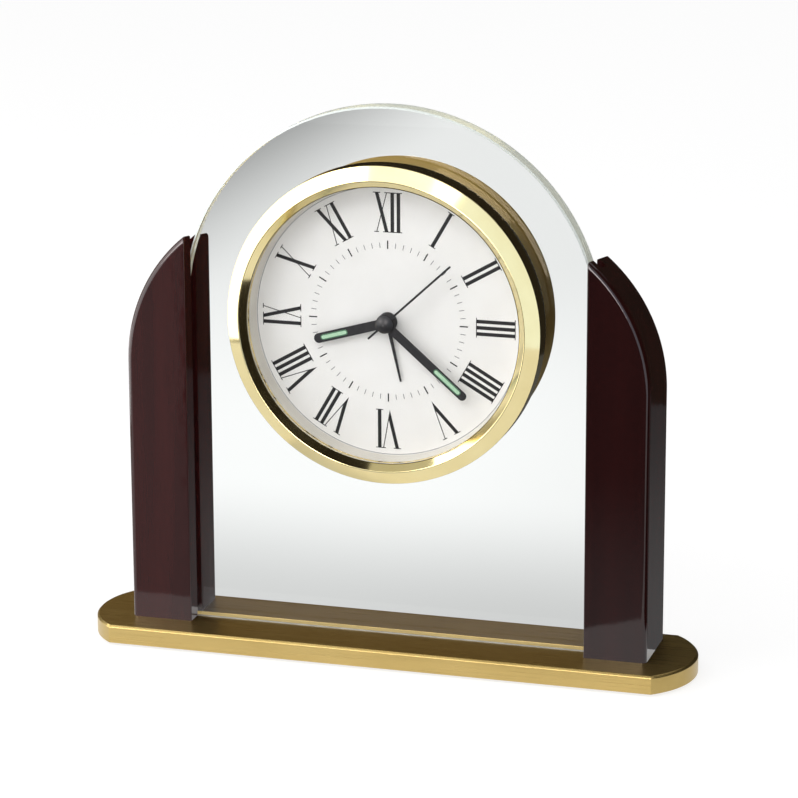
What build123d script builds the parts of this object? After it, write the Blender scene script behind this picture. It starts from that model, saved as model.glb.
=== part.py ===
"""Arched glass table alarm clock.

A brass base carries two grooved wood columns and a round topped glass panel. A round quartz alarm
insert sits in a hole in the glass. Millimetres, +Z up, +X to the viewer's right, -Y to the viewer,
origin on the resting face under the middle of the base.
"""
import os
from math import acos, asin, cos, degrees, hypot, radians, sin, sqrt

from build123d import *

os.makedirs("parts", exist_ok=True)

# Sizes of the base and its pad
base_length = 178.0
base_depth = 37.0
base_thickness = 5.3
base_end_bow = 9.0
base_edge_chamfer = 0.6
pad_thickness = 0.8
pad_inset = 2.5

# Sizes of the glass panel
glass_thickness = 6.0
glass_arch_height = 92.0
glass_seat_depth = 1.5
glass_edge_chamfer = 0.5
glass_hole_gap = 0.7

# Sizes of the columns
column_end_margin = 12.7
column_width = 18.0
column_height = 114.3
column_arc_radius = 48.5
column_top_fall = 3.3
column_front_lip = 5.4
column_rear_lip = 11.9
column_edge_round = 1.5
column_inner_round = 0.4
column_stock = 6.0
groove_depth = 2.6
groove_clearance = 0.1

# Sizes of the column screws
column_screw_radius = 1.6
column_screw_head_radius = 3.2
column_screw_length = 22.0
column_screw_pitch = 11.0
column_screw_point = 3.0
screw_clearance = 0.05

# Sizes of the bezel, lens and dial
bezel_wall = 1.6
bezel_side = 6.0
bezel_edge_break = 0.25
bezel_slope_width = 3.9
bezel_ridge_height = 2.3
bezel_ridge_flat = 0.3
bezel_crown = 0.35
bezel_inner_slope = 1.5
bezel_inner_drop = 1.6
bezel_lip_width = 0.6
bezel_lip = 0.3
lens_thickness = 1.2
lens_overlap = 3.0
lens_gap = 0.6
dial_ring_taper = 0.7
dial_thickness = 0.5

# Sizes of the drum, its rubber ring and the rear cover
drum_wall = 0.8
drum_gap = 1.7
drum_rear_round = 0.5
drum_shoulder = 1.6
drum_shoulder_thickness = 0.8
insert_ring_width = 3.0
cover_thickness = 2.0
cover_recess = 0.3
seat_clearance = 0.1
skin_clearance = 0.05

# Sizes of the hands, as lengths from the axis, and the time that they show
hand_thickness = 0.3
hand_pitch = 1.1
hand_clearance = 0.3
hub_radius = 2.7
hour_hand_length = 22.0
hour_hand_width = 2.8
minute_hand_length = 30.7
minute_hand_width = 2.5
second_hand_length = 26.2
second_hand_tail = 6.4
second_hand_width = 0.6
second_cap_radius = 2.5
second_cap_height = 0.9
alarm_hand_length = 17.4
alarm_hand_root = 1.1
alarm_hand_tip = 0.5
lume_width = 1.6
lume_end_gap = 2.0
hour_lume_length = 8.2
minute_lume_length = 9.9
lume_depth = 0.15
hour_hand_angle = 254.0
minute_hand_angle = 130.9
second_hand_angle = 47.1
alarm_hand_angle = 167.2

# Radii of the concentric pipes, from the inside out
second_arbor_radius = 0.4
pipe_wall = 0.45
running_clearance = 0.05
bush_radius = 2.7
bush_stand = 0.2

# Sizes of the movement housing
case_corner_round = 3.0
case_wall = 1.2
case_floor = 1.3
case_cover_gap = 2.0
bridge_thickness = 1.2
bridge_gap = 0.2
bridge_coil_gap = 0.8
pillar_radius = 1.6
pillar_inset = 2.6
boss_radius = 2.4
boss_inset = 3.5
boss_lap = 2.25
cover_screw_radius = 0.85
cover_screw_head_radius = 1.7
cover_screw_length = 8.0

# Wheels: tooth counts, axis distances, axis directions and layers
wheel_thickness = 0.8
layer_gap = 0.5
pinion_overhang = 0.2
arbor_radius = 0.4
cannon_teeth = 12
motion_wheel_teeth = 36
motion_pinion_teeth = 12
hour_wheel_teeth = 48
motion_distance = 12.0
motion_direction = 0.0
time_pinion_teeth = 12
time_pinion_direction = 45.0
alarm_wheel_teeth = 48
alarm_pinion_teeth = 16
alarm_distance = 13.44
alarm_direction = 180.0
seconds_pinion_teeth = 8
third_wheel_teeth = 60
third_pinion_teeth = 8
centre_wheel_teeth = 64
third_distance = 11.6
third_direction = 60.0
seconds_wheel_teeth = 50
step_pinion_teeth = 10
step_distance = 11.4
step_direction = 120.0
step_wheel_teeth = 36
rotor_pinion_teeth = 6
rotor_distance = 6.3
rotor_direction = 110.0

# Tooth shape, in modules and in shares of the tooth pitch
tooth_addendum = 0.85
tooth_dedendum = 1.15
tooth_root_share = 0.54
tooth_tip_share = 0.18

# Sizes of the stepping motor
rotor_magnet_radius = 2.6
rotor_gap = 0.4
stator_length = 27.0
stator_bar = 8.4
stator_leg = 3.0
coil_gap = 0.2
coil_wall_gap = 1.4
core_width = 2.4
coil_radius = 3.4
coil_length = 15.0
bobbin_radius = 2.0
bobbin_flange = 0.8
post_radius = 1.2

# Sizes of the circuit board and buzzer
board_height = 7.2
board_thickness = 1.0
board_gap = 1.8
board_wall_gap = 0.3
board_boss_gap = 0.45
board_post_inset = 2.0
buzzer_radius = 8.5
buzzer_thickness = 2.0
buzzer_gap = 1.2
buzzer_rise = 4.0
sound_hole_radius = 0.9
sound_hole_ring = 4.5
sound_hole_count = 6

# Sizes of the battery, its contacts and its door
battery_radius = 7.25
battery_length = 49.5
battery_nub_radius = 2.75
battery_nub_length = 1.0
battery_clearance = 0.2
battery_side_gap = 0.35
battery_cover_gap = 0.6
contact_space = 1.35
contact_thickness = 0.4
contact_height = 8.0
contact_rise = 4.0
door_thickness = 1.2
door_clearance = 0.2
door_side_ledge = 1.4
door_top_ledge = 0.5
door_corner_round = 2.0
door_grip_width = 12.0
door_grip_depth = 0.6

# Sizes of the knobs and the switch
knob_radius = 5.0
knob_height = 3.5
knob_gap = 0.4
knob_flutes = 18
knob_flute_radius = 0.5
knob_shaft_radius = 1.5
switch_rise = 4.5
switch_travel = 4.0
switch_stem_width = 3.0
switch_stem_height = 2.4
switch_pad_width = 5.0
switch_pad_height = 4.0
switch_pad_thickness = 1.4
switch_plate_width = 14.0
switch_plate_height = 5.0
switch_plate_thickness = 0.6
switch_gap = 0.3
switch_rib = 0.4

# Heights and depths worked out from the sizes
base_bottom_z = pad_thickness
base_top_z = base_bottom_z + base_thickness
glass_bottom_z = base_top_z - glass_seat_depth
axis_z = base_top_z + glass_arch_height
glass_front_y = -glass_thickness / 2
glass_rear_y = glass_thickness / 2
column_front_y = glass_front_y - column_front_lip
column_rear_y = glass_rear_y + column_rear_lip
column_depth = column_rear_y - column_front_y
column_outer_x = base_length / 2 - column_end_margin
column_inner_x = column_outer_x - column_width
column_centre_x = column_inner_x + column_width / 2
column_centre_y = (column_front_y + column_rear_y) / 2
glass_half_width = column_inner_x + groove_depth - groove_clearance
groove_width = glass_thickness + 2 * groove_clearance
rim_y = glass_front_y - bezel_side
ridge_y = rim_y - bezel_ridge_height
bezel_inner_y = ridge_y + bezel_inner_drop
lens_front_y = bezel_inner_y + bezel_lip
lens_rear_y = lens_front_y + lens_thickness
hand_stack = bush_stand + hand_clearance + 3 * hand_pitch + hand_thickness + second_cap_height
dial_front_y = lens_rear_y + lens_gap + hand_stack
dial_rear_y = dial_front_y + dial_thickness
floor_y = dial_rear_y + case_floor
battery_y = floor_y + battery_clearance + battery_radius
bush_front_y = dial_front_y - bush_stand
alarm_hand_rear_y = bush_front_y - hand_clearance
hour_hand_rear_y = alarm_hand_rear_y - hand_pitch
minute_hand_rear_y = hour_hand_rear_y - hand_pitch
second_hand_rear_y = minute_hand_rear_y - hand_pitch

# Pipe radii from the inside out
minute_bore = second_arbor_radius + running_clearance
minute_pipe_radius = minute_bore + pipe_wall
hour_bore = minute_pipe_radius + running_clearance
hour_pipe_radius = hour_bore + pipe_wall
alarm_bore = hour_pipe_radius + running_clearance
alarm_pipe_radius = alarm_bore + pipe_wall
bush_bore = alarm_pipe_radius + running_clearance
pivot_bore = arbor_radius + running_clearance


def layer(number):
    """Depth of the front face of a wheel layer, counted back from the housing floor."""
    return floor_y + layer_gap + number * (wheel_thickness + layer_gap)


alarm_layer = layer(0)
hour_layer = layer(1)
motion_layer = layer(2)
centre_layer = layer(3)
third_layer = layer(4)
seconds_layer = layer(5)
step_layer = layer(6)
rotor_layer = layer(7)
bridge_front_y = layer(8)
bridge_rear_y = bridge_front_y + bridge_thickness
cover_front_y = max(
    bridge_rear_y + buzzer_gap + buzzer_thickness, battery_y + battery_radius + battery_cover_gap
)
cover_rear_y = cover_front_y + cover_thickness
drum_rear_y = cover_rear_y + cover_recess
case_rear_y = cover_front_y - case_cover_gap


def around(centre, distance, direction):
    """Point at a distance and direction, in degrees from +X, from another point of the dial plane."""
    turn = radians(direction)
    return (centre[0] + distance * cos(turn), centre[1] + distance * sin(turn))


def module_for(distance, first_teeth, second_teeth):
    """Module that makes two gears mesh at an axis distance."""
    return 2 * distance / (first_teeth + second_teeth)


def meshed_phase(direction, teeth, driver_phase, driver_teeth):
    """Angle of a gear's first tooth that puts it in mesh with a driver seen in a direction from it."""
    shift = (driver_phase - direction) * driver_teeth / 360
    return direction + 180 - (shift + 0.5) * 360 / teeth


# Wheel axes in the dial plane, from the insert's axis
centre_axis = (0.0, 0.0)
motion_axis = around(centre_axis, motion_distance, motion_direction)
cannon_module = module_for(motion_distance, cannon_teeth, motion_wheel_teeth)
hour_module = module_for(motion_distance, motion_pinion_teeth, hour_wheel_teeth)
time_pinion_distance = cannon_module * (motion_wheel_teeth + time_pinion_teeth) / 2
time_axis = around(motion_axis, time_pinion_distance, time_pinion_direction)
alarm_module = module_for(alarm_distance, alarm_wheel_teeth, alarm_pinion_teeth)
alarm_axis = around(centre_axis, alarm_distance, alarm_direction)
third_axis = around(centre_axis, third_distance, third_direction)
third_module = module_for(third_distance, seconds_pinion_teeth, third_wheel_teeth)
centre_module = module_for(third_distance, third_pinion_teeth, centre_wheel_teeth)
step_axis = around(centre_axis, step_distance, step_direction)
seconds_module = module_for(step_distance, seconds_wheel_teeth, step_pinion_teeth)
rotor_axis = around(step_axis, rotor_distance, rotor_direction)
step_module = module_for(rotor_distance, step_wheel_teeth, rotor_pinion_teeth)

# Housing, drawn round the wheels, the coil and the battery
centre_wheel_reach = centre_module * (centre_wheel_teeth / 2 + tooth_addendum)
coil_z = rotor_axis[1] + stator_bar / 2 + coil_gap + coil_radius
case_top_z = coil_z + coil_radius + coil_wall_gap + case_wall
boss_low_z = -(centre_wheel_reach + bridge_gap + boss_radius)
battery_wall_z = boss_low_z - boss_lap
battery_z = battery_wall_z - case_wall / 2 - battery_clearance - battery_radius
case_bottom_z = battery_z - battery_radius - battery_side_gap - case_wall
case_inner_width = battery_length + battery_nub_length + 2 * contact_space
case_width = case_inner_width + 2 * case_wall
case_height = case_top_z - case_bottom_z
bridge_width = case_inner_width - 2 * bridge_gap
bridge_bottom_z = boss_low_z + boss_radius + bridge_gap
bridge_top_z = coil_z - coil_radius - bridge_coil_gap

# Drum, drawn round the housing's farthest corner, and the bezel round the drum
corner_reach_x = case_width / 2 - case_corner_round
corner_reach_z = max(case_top_z, -case_bottom_z) - case_corner_round
case_reach = hypot(corner_reach_x, corner_reach_z) + case_corner_round
drum_inner_radius = case_reach + drum_gap
drum_radius = drum_inner_radius + drum_wall
glass_hole_radius = drum_radius + glass_hole_gap
inner_fit_radius = drum_inner_radius - seat_clearance
bezel_radius = drum_radius + bezel_wall
bezel_ridge_radius = bezel_radius - bezel_slope_width
bezel_inner_radius = bezel_ridge_radius - bezel_inner_slope - bezel_lip_width
lens_radius = bezel_inner_radius + lens_overlap
dial_opening_radius = bezel_inner_radius - dial_ring_taper

# Places shared by several pieces
column_screw_places = [
    (side * column_centre_x, column_centre_y + end * column_screw_pitch / 2)
    for side in (-1, 1)
    for end in (-1, 1)
]
boss_high_x = case_width / 2 - boss_inset
boss_high_z = case_top_z - boss_inset
boss_places = [(-boss_high_x, boss_high_z), (boss_high_x, boss_high_z), (0.0, boss_low_z)]
pillar_x = bridge_width / 2 - pillar_inset
pillar_heights = (bridge_bottom_z + pillar_inset, bridge_top_z - pillar_inset)
pillar_places = [(side * pillar_x, height) for side in (-1, 1) for height in pillar_heights]
stator_leg_x = (stator_length - stator_leg) / 2
stator_post_places = [
    (rotor_axis[0] - stator_leg_x, rotor_axis[1]),
    (rotor_axis[0] - stator_leg_x, coil_z),
    (rotor_axis[0] + stator_leg_x, coil_z),
]
board_left_x = rotor_axis[0] + stator_length / 2 + board_gap
board_right_x = boss_high_x - boss_radius - board_boss_gap
board_x = (board_left_x + board_right_x) / 2
board_width = board_right_x - board_left_x
board_post_spacing = board_width - 2 * board_post_inset
board_z = case_top_z - case_wall - board_wall_gap - board_height / 2
board_post_places = [(board_x + side * board_post_spacing / 2, board_z) for side in (-1, 1)]
pivot_places = [motion_axis, third_axis, step_axis, rotor_axis]
shaft_places = [time_axis, alarm_axis]
switch_z = case_top_z + switch_rise
section_plane = Plane(origin=(0, 0, axis_z), x_dir=(1, 0, 0), z_dir=(0, 0, 1))
insert_axis = Axis((0, 0, axis_z), (0, 1, 0))


def dial_plane(y, place=(0.0, 0.0)):
    """Plane at depth y that faces the viewer, centred on a place from the insert's axis."""
    return Plane(origin=(place[0], y, axis_z + place[1]), x_dir=(1, 0, 0), z_dir=(0, -1, 0))


class BaseOutline(BaseSketchObject):
    """Plate outline with straight front and back edges and bowed ends."""

    def __init__(self, length, depth, bow, mode=Mode.ADD):
        corner_x = length / 2 - bow
        with BuildSketch() as outline:
            with BuildLine():
                front = Line((-corner_x, -depth / 2), (corner_x, -depth / 2))
                right = ThreePointArc(front @ 1, (length / 2, 0), (corner_x, depth / 2))
                back = Line(right @ 1, (-corner_x, depth / 2))
                ThreePointArc(back @ 1, (-length / 2, 0), front @ 0)
            make_face()
        super().__init__(outline.sketch, mode=mode)


class GearOutline(BaseSketchObject):
    """Straight flanked gear, with its first tooth at the phase angle."""

    def __init__(self, teeth, module, phase=0.0, mode=Mode.ADD):
        pitch = 360 / teeth
        root_radius = module * (teeth / 2 - tooth_dedendum)
        tip_radius = module * (teeth / 2 + tooth_addendum)
        root_turn = tooth_root_share * pitch / 2
        tip_turn = tooth_tip_share * pitch / 2
        corners = (
            (root_radius, -root_turn),
            (tip_radius, -tip_turn),
            (tip_radius, tip_turn),
            (root_radius, root_turn),
        )
        points = []
        for tooth in range(teeth):
            for radius, turn in corners:
                angle = radians(phase + tooth * pitch + turn)
                points.append((radius * cos(angle), radius * sin(angle)))
        with BuildSketch() as outline:
            with BuildLine():
                Polyline(*points, close=True)
            make_face()
        super().__init__(outline.sketch, mode=mode)


class BatonOutline(BaseSketchObject):
    """Straight hand with a round hub and a round tip, pointing along +Y."""

    def __init__(self, length, width, hub, mode=Mode.ADD):
        with BuildSketch() as outline:
            Circle(hub)
            with Locations((0, length / 2 - width / 4)):
                Rectangle(width, length - width / 2)
            with Locations((0, length - width / 2)):
                Circle(width / 2)
        super().__init__(outline.sketch, mode=mode)


def finish(piece, name):
    """Label a finished piece and write it."""
    piece.part.label = name
    export_step(piece.part, f"parts/{name}.step")


# Base plate
with BuildPart() as base_plate:
    with BuildSketch(Plane.XY.offset(base_bottom_z)):
        BaseOutline(base_length, base_depth, base_end_bow)
    extrude(amount=base_thickness)
    chamfer(base_plate.faces().sort_by(Axis.Z)[-1].edges(), length=base_edge_chamfer)
    with BuildSketch(Plane.XY.offset(base_top_z)):
        Rectangle(2 * (glass_half_width + groove_clearance), groove_width)
    extrude(amount=-glass_seat_depth, mode=Mode.SUBTRACT)
    with BuildSketch(Plane.XY.offset(base_bottom_z)):
        with Locations(*column_screw_places):
            Circle(column_screw_radius + screw_clearance)
    extrude(amount=base_thickness, mode=Mode.SUBTRACT)
    sink_depth = column_screw_head_radius - column_screw_radius
    for place in column_screw_places:
        with Locations((*place, base_bottom_z + sink_depth / 2)):
            Cone(
                column_screw_head_radius + screw_clearance,
                column_screw_radius + screw_clearance,
                sink_depth,
                mode=Mode.SUBTRACT,
            )
finish(base_plate, "base_plate")

# Felt pad under the base
with BuildPart() as base_pad:
    with BuildSketch(Plane.XY):
        BaseOutline(base_length - 2 * pad_inset, base_depth - 2 * pad_inset, base_end_bow)
    extrude(amount=pad_thickness)
finish(base_pad, "base_pad")

# Right column: its outer top corner is swept in one arc up to the inner face, and the arc falls to the rear.
# The outline is drawn with stock inside the inner face, so that the rounded edges run out over the top.
arc_start = column_height - sqrt(column_arc_radius**2 - (column_arc_radius - column_width) ** 2)
stock_reach = column_arc_radius - column_width - column_stock
stock_x = column_inner_x - column_stock
stock_top = arc_start + sqrt(column_arc_radius**2 - stock_reach**2)
arc_turn = degrees(acos(stock_reach / column_arc_radius))
column_plane = Plane(
    origin=(0, column_rear_y, base_top_z - column_top_fall), x_dir=(1, 0, 0), z_dir=(0, -1, 0)
)
pilot_depth = column_screw_length - base_thickness

with BuildPart() as right_column:
    with BuildSketch(column_plane):
        with BuildLine():
            sides = Polyline(
                (stock_x, stock_top),
                (stock_x, 0),
                (column_outer_x, 0),
                (column_outer_x, arc_start),
            )
            JernArc(start=sides @ 1, tangent=(0, 1), radius=column_arc_radius, arc_size=arc_turn)
        make_face()
    extrude(amount=hypot(column_depth, column_top_fall), dir=(0, -column_depth, column_top_fall))
    split(bisect_by=Plane(origin=(0, 0, base_top_z), z_dir=(0, 0, 1)), keep=Keep.TOP)
    front_edges = right_column.faces().sort_by(Axis.Y)[0].edges().sort_by(Axis.Z)[1:].sort_by(Axis.X)[1:]
    rear_edges = right_column.faces().sort_by(Axis.Y)[-1].edges().sort_by(Axis.Z)[1:].sort_by(Axis.X)[1:]
    fillet(front_edges + rear_edges, radius=column_edge_round)
    split(bisect_by=Plane(origin=(column_inner_x, 0, 0), z_dir=(1, 0, 0)), keep=Keep.TOP)
    inner_edges = right_column.faces().sort_by(Axis.X)[0].edges().sort_by(Axis.Z)[1:]
    fillet(inner_edges, radius=column_inner_round)
    with BuildSketch(Plane.XY.offset(base_top_z)):
        with Locations((column_inner_x + groove_depth / 2, 0)):
            Rectangle(groove_depth, groove_width)
    extrude(amount=column_height, mode=Mode.SUBTRACT)
    with BuildSketch(Plane.XY.offset(base_top_z)):
        with Locations(*[place for place in column_screw_places if place[0] > 0]):
            Circle(column_screw_radius + screw_clearance)
    extrude(amount=pilot_depth, mode=Mode.SUBTRACT)
finish(right_column, "right_column")

# Left column, the mirror image
with BuildPart() as left_column:
    mirror(right_column.part, about=Plane.YZ)
finish(left_column, "left_column")

# Countersunk wood screws that hold the columns from below
with BuildPart() as column_screws:
    for place in column_screw_places:
        screw_plane = Plane(origin=(*place, base_bottom_z), x_dir=(1, 0, 0), z_dir=(0, -1, 0))
        with BuildSketch(screw_plane) as half_screw:
            with BuildLine():
                Polyline(
                    (0, 0),
                    (column_screw_head_radius, 0),
                    (column_screw_radius, column_screw_head_radius - column_screw_radius),
                    (column_screw_radius, column_screw_length - column_screw_point),
                    (0, column_screw_length - screw_clearance),
                    close=True,
                )
            make_face()
        revolve(half_screw.sketch, axis=Axis((*place, 0), (0, 0, 1)))
finish(column_screws, "column_screws")

# Glass panel with a round top and a round hole
with BuildPart() as glass_panel:
    with BuildSketch(dial_plane(glass_rear_y)):
        with BuildLine():
            sides = Polyline(
                (glass_half_width, 0),
                (glass_half_width, glass_bottom_z - axis_z),
                (-glass_half_width, glass_bottom_z - axis_z),
                (-glass_half_width, 0),
            )
            ThreePointArc(sides @ 1, (0, glass_half_width), sides @ 0)
        make_face()
    extrude(amount=glass_thickness)
    outline_edges = glass_panel.faces().filter_by(Axis.Y).edges()
    chamfer(outline_edges, length=glass_edge_chamfer)
    with BuildSketch(dial_plane(glass_rear_y)):
        Circle(glass_hole_radius)
    extrude(amount=glass_thickness, mode=Mode.SUBTRACT)
finish(glass_panel, "glass_panel")

# Polished bezel: straight side, crowned outer slope, ridge, inner slope and a lip over the lens
bezel_bore = drum_radius + skin_clearance
with BuildPart() as bezel:
    with BuildSketch(section_plane):
        with BuildLine():
            side = Polyline(
                (bezel_bore, glass_front_y),
                (bezel_radius - bezel_edge_break, glass_front_y),
                (bezel_radius, glass_front_y - bezel_edge_break),
                (bezel_radius, rim_y + bezel_edge_break),
                (bezel_radius - bezel_edge_break, rim_y),
            )
            slope = SagittaArc(side @ 1, (bezel_ridge_radius + bezel_ridge_flat, ridge_y), bezel_crown)
            Polyline(
                slope @ 1,
                (bezel_ridge_radius - bezel_ridge_flat, ridge_y),
                (bezel_inner_radius + bezel_lip_width, bezel_inner_y),
                (bezel_inner_radius, bezel_inner_y),
                (bezel_inner_radius, lens_front_y),
                (lens_radius + seat_clearance, lens_front_y),
                (lens_radius + seat_clearance, lens_rear_y),
                (bezel_bore, lens_rear_y),
                side @ 0,
            )
        make_face()
    revolve(axis=insert_axis)
finish(bezel, "bezel")

# Flat lens behind the bezel's lip
with BuildPart() as lens:
    with BuildSketch(dial_plane(lens_rear_y)):
        Circle(lens_radius)
    extrude(amount=lens_thickness)
finish(lens, "lens")

# Inner ring that keeps the lens off the dial
with BuildPart() as dial_ring:
    with BuildSketch(section_plane):
        with BuildLine():
            Polyline(
                (bezel_inner_radius, lens_rear_y),
                (inner_fit_radius, lens_rear_y),
                (inner_fit_radius, dial_front_y),
                (dial_opening_radius, dial_front_y),
                close=True,
            )
        make_face()
    revolve(axis=insert_axis)
finish(dial_ring, "dial_ring")

# Dial
with BuildPart() as dial:
    with BuildSketch(dial_plane(dial_rear_y)):
        Circle(inner_fit_radius)
        Circle(bush_radius + skin_clearance, mode=Mode.SUBTRACT)
    extrude(amount=dial_thickness)
finish(dial, "dial")

# Brass drum, with a rolled shoulder that the rear cover sits on
shoulder_radius = drum_inner_radius - drum_shoulder
with BuildPart() as drum_case:
    with BuildSketch(section_plane):
        with BuildLine():
            Polyline(
                (drum_inner_radius, lens_rear_y),
                (drum_radius, lens_rear_y),
                (drum_radius, drum_rear_y),
                (drum_inner_radius, drum_rear_y),
                (drum_inner_radius, cover_front_y),
                (shoulder_radius, cover_front_y),
                (shoulder_radius, cover_front_y - drum_shoulder_thickness),
                (drum_inner_radius, cover_front_y - drum_shoulder_thickness),
                close=True,
            )
        make_face()
    revolve(axis=insert_axis)
    rear_edge = drum_case.edges().filter_by(GeomType.CIRCLE).group_by(SortBy.RADIUS)[-1].sort_by(Axis.Y)[-1]
    fillet(rear_edge, radius=drum_rear_round)
finish(drum_case, "drum_case")

# Rubber ring round the drum in the glass hole
with BuildPart() as insert_ring:
    with BuildSketch(dial_plane(insert_ring_width / 2)):
        Circle(glass_hole_radius - skin_clearance)
        Circle(drum_radius + skin_clearance, mode=Mode.SUBTRACT)
    extrude(amount=insert_ring_width)
finish(insert_ring, "insert_ring")

# Rear cover with the battery opening, knob holes, switch slot and sound holes
opening_width = battery_length + battery_nub_length + 2 * battery_side_gap
opening_height = 2 * (battery_radius + battery_side_gap)
recess_width = opening_width + 2 * door_side_ledge
recess_height = opening_height + 2 * door_top_ledge
door_width = recess_width - 2 * door_clearance
door_height = recess_height - 2 * door_clearance
slot_width = switch_stem_width + switch_travel + 2 * switch_gap
slot_height = switch_stem_height + 2 * switch_gap
cover_sink_depth = cover_screw_head_radius - cover_screw_radius

with BuildPart() as rear_cover:
    with BuildSketch(dial_plane(cover_rear_y)):
        Circle(inner_fit_radius)
        with Locations((0, battery_z)):
            RectangleRounded(opening_width, opening_height, door_corner_round, mode=Mode.SUBTRACT)
        with Locations(*shaft_places):
            Circle(knob_shaft_radius + running_clearance, mode=Mode.SUBTRACT)
        with Locations((switch_travel / 2, switch_z)):
            Rectangle(slot_width, slot_height, mode=Mode.SUBTRACT)
        with Locations(*boss_places):
            Circle(cover_screw_radius + screw_clearance, mode=Mode.SUBTRACT)
        with Locations((0, buzzer_rise)):
            Circle(sound_hole_radius, mode=Mode.SUBTRACT)
            with PolarLocations(sound_hole_ring, sound_hole_count):
                Circle(sound_hole_radius, mode=Mode.SUBTRACT)
    extrude(amount=cover_thickness)
    with BuildSketch(dial_plane(cover_rear_y)):
        with Locations((0, battery_z)):
            RectangleRounded(recess_width, recess_height, door_corner_round)
    extrude(amount=door_thickness, mode=Mode.SUBTRACT)
    for place in boss_places:
        sink_plane = dial_plane(cover_rear_y - cover_sink_depth / 2, place)
        with Locations(sink_plane):
            Cone(
                cover_screw_head_radius + screw_clearance,
                cover_screw_radius + screw_clearance,
                cover_sink_depth,
                mode=Mode.SUBTRACT,
            )
finish(rear_cover, "rear_cover")

# Screws that hold the rear cover to the movement housing
with BuildPart() as cover_screws:
    for place in boss_places:
        screw_plane = Plane(
            origin=(place[0], cover_rear_y, axis_z + place[1]), x_dir=(1, 0, 0), z_dir=(0, 0, 1)
        )
        with BuildSketch(screw_plane) as half_screw:
            with BuildLine():
                Polyline(
                    (0, 0),
                    (cover_screw_head_radius, 0),
                    (cover_screw_radius, -cover_sink_depth),
                    (cover_screw_radius, -cover_screw_length),
                    (0, -cover_screw_length),
                    close=True,
                )
            make_face()
        revolve(half_screw.sketch, axis=Axis((place[0], 0, axis_z + place[1]), (0, 1, 0)))
finish(cover_screws, "cover_screws")

# Battery door, flush in the rear cover, with a finger notch
with BuildPart() as battery_door:
    with BuildSketch(dial_plane(cover_rear_y, (0, battery_z))):
        RectangleRounded(door_width, door_height, door_corner_round)
    extrude(amount=door_thickness)
    with BuildSketch(dial_plane(cover_rear_y, (0, battery_z + door_height / 2))):
        Ellipse(door_grip_width / 2, door_height / 4)
    extrude(amount=door_grip_depth, mode=Mode.SUBTRACT)
finish(battery_door, "battery_door")

# Movement housing: floor, wall, centre bush, posts, battery wall and screw bosses
case_middle_z = (case_top_z + case_bottom_z) / 2

with BuildPart() as movement_case:
    with BuildSketch(dial_plane(floor_y)):
        with Locations((0, case_middle_z)):
            RectangleRounded(case_width, case_height, case_corner_round)
        Circle(bush_bore, mode=Mode.SUBTRACT)
    extrude(amount=case_floor)
    with BuildSketch(dial_plane(dial_rear_y)):
        Circle(bush_radius)
        Circle(bush_bore, mode=Mode.SUBTRACT)
    extrude(amount=dial_rear_y - bush_front_y)
    with BuildSketch(dial_plane(case_rear_y)):
        with Locations((0, case_middle_z)):
            RectangleRounded(case_width, case_height, case_corner_round)
            RectangleRounded(
                case_inner_width,
                case_height - 2 * case_wall,
                case_corner_round - case_wall,
                mode=Mode.SUBTRACT,
            )
        with Locations((0, battery_wall_z)):
            Rectangle(case_inner_width, case_wall)
    extrude(amount=case_rear_y - floor_y)
    with BuildSketch(dial_plane(cover_front_y)):
        with Locations(*boss_places):
            Circle(boss_radius)
    extrude(amount=cover_front_y - floor_y)
    with BuildSketch(dial_plane(bridge_front_y)):
        with Locations(*pillar_places):
            Circle(pillar_radius)
    extrude(amount=bridge_front_y - floor_y)
    with BuildSketch(dial_plane(rotor_layer)):
        with Locations(*stator_post_places, *board_post_places):
            Circle(post_radius)
    extrude(amount=rotor_layer - floor_y)
    with BuildSketch(dial_plane(cover_front_y)):
        with Locations(*boss_places):
            Circle(cover_screw_radius + screw_clearance)
    extrude(amount=cover_screw_length, mode=Mode.SUBTRACT)
    with BuildSketch(dial_plane(floor_y)):
        with Locations(*pivot_places):
            Circle(pivot_bore)
        with Locations(*shaft_places):
            Circle(knob_shaft_radius + running_clearance)
    extrude(amount=case_floor, mode=Mode.SUBTRACT)
finish(movement_case, "movement_case")

# Bridge that carries the rear pivots of the train
with BuildPart() as movement_bridge:
    with BuildSketch(dial_plane(bridge_rear_y)):
        with Locations((0, (bridge_top_z + bridge_bottom_z) / 2)):
            RectangleRounded(bridge_width, bridge_top_z - bridge_bottom_z, pillar_radius)
        with Locations(*pivot_places):
            Circle(pivot_bore, mode=Mode.SUBTRACT)
        with Locations(*shaft_places):
            Circle(knob_shaft_radius + running_clearance, mode=Mode.SUBTRACT)
        Circle(second_arbor_radius + running_clearance, mode=Mode.SUBTRACT)
    extrude(amount=bridge_thickness)
finish(movement_bridge, "movement_bridge")

# Phases that put every pair of gears in mesh at rest
motion_wheel_phase = meshed_phase(motion_direction, motion_wheel_teeth, 0.0, cannon_teeth)
motion_pinion_phase = meshed_phase(motion_direction, motion_pinion_teeth, 0.0, hour_wheel_teeth)
time_pinion_phase = meshed_phase(
    time_pinion_direction, time_pinion_teeth, motion_wheel_phase, motion_wheel_teeth
)
alarm_pinion_phase = meshed_phase(alarm_direction, alarm_pinion_teeth, 0.0, alarm_wheel_teeth)
third_wheel_phase = meshed_phase(third_direction, third_wheel_teeth, 0.0, seconds_pinion_teeth)
third_pinion_phase = meshed_phase(third_direction, third_pinion_teeth, 0.0, centre_wheel_teeth)
step_pinion_phase = meshed_phase(step_direction, step_pinion_teeth, 0.0, seconds_wheel_teeth)
rotor_pinion_phase = meshed_phase(rotor_direction, rotor_pinion_teeth, 0.0, step_wheel_teeth)

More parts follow.
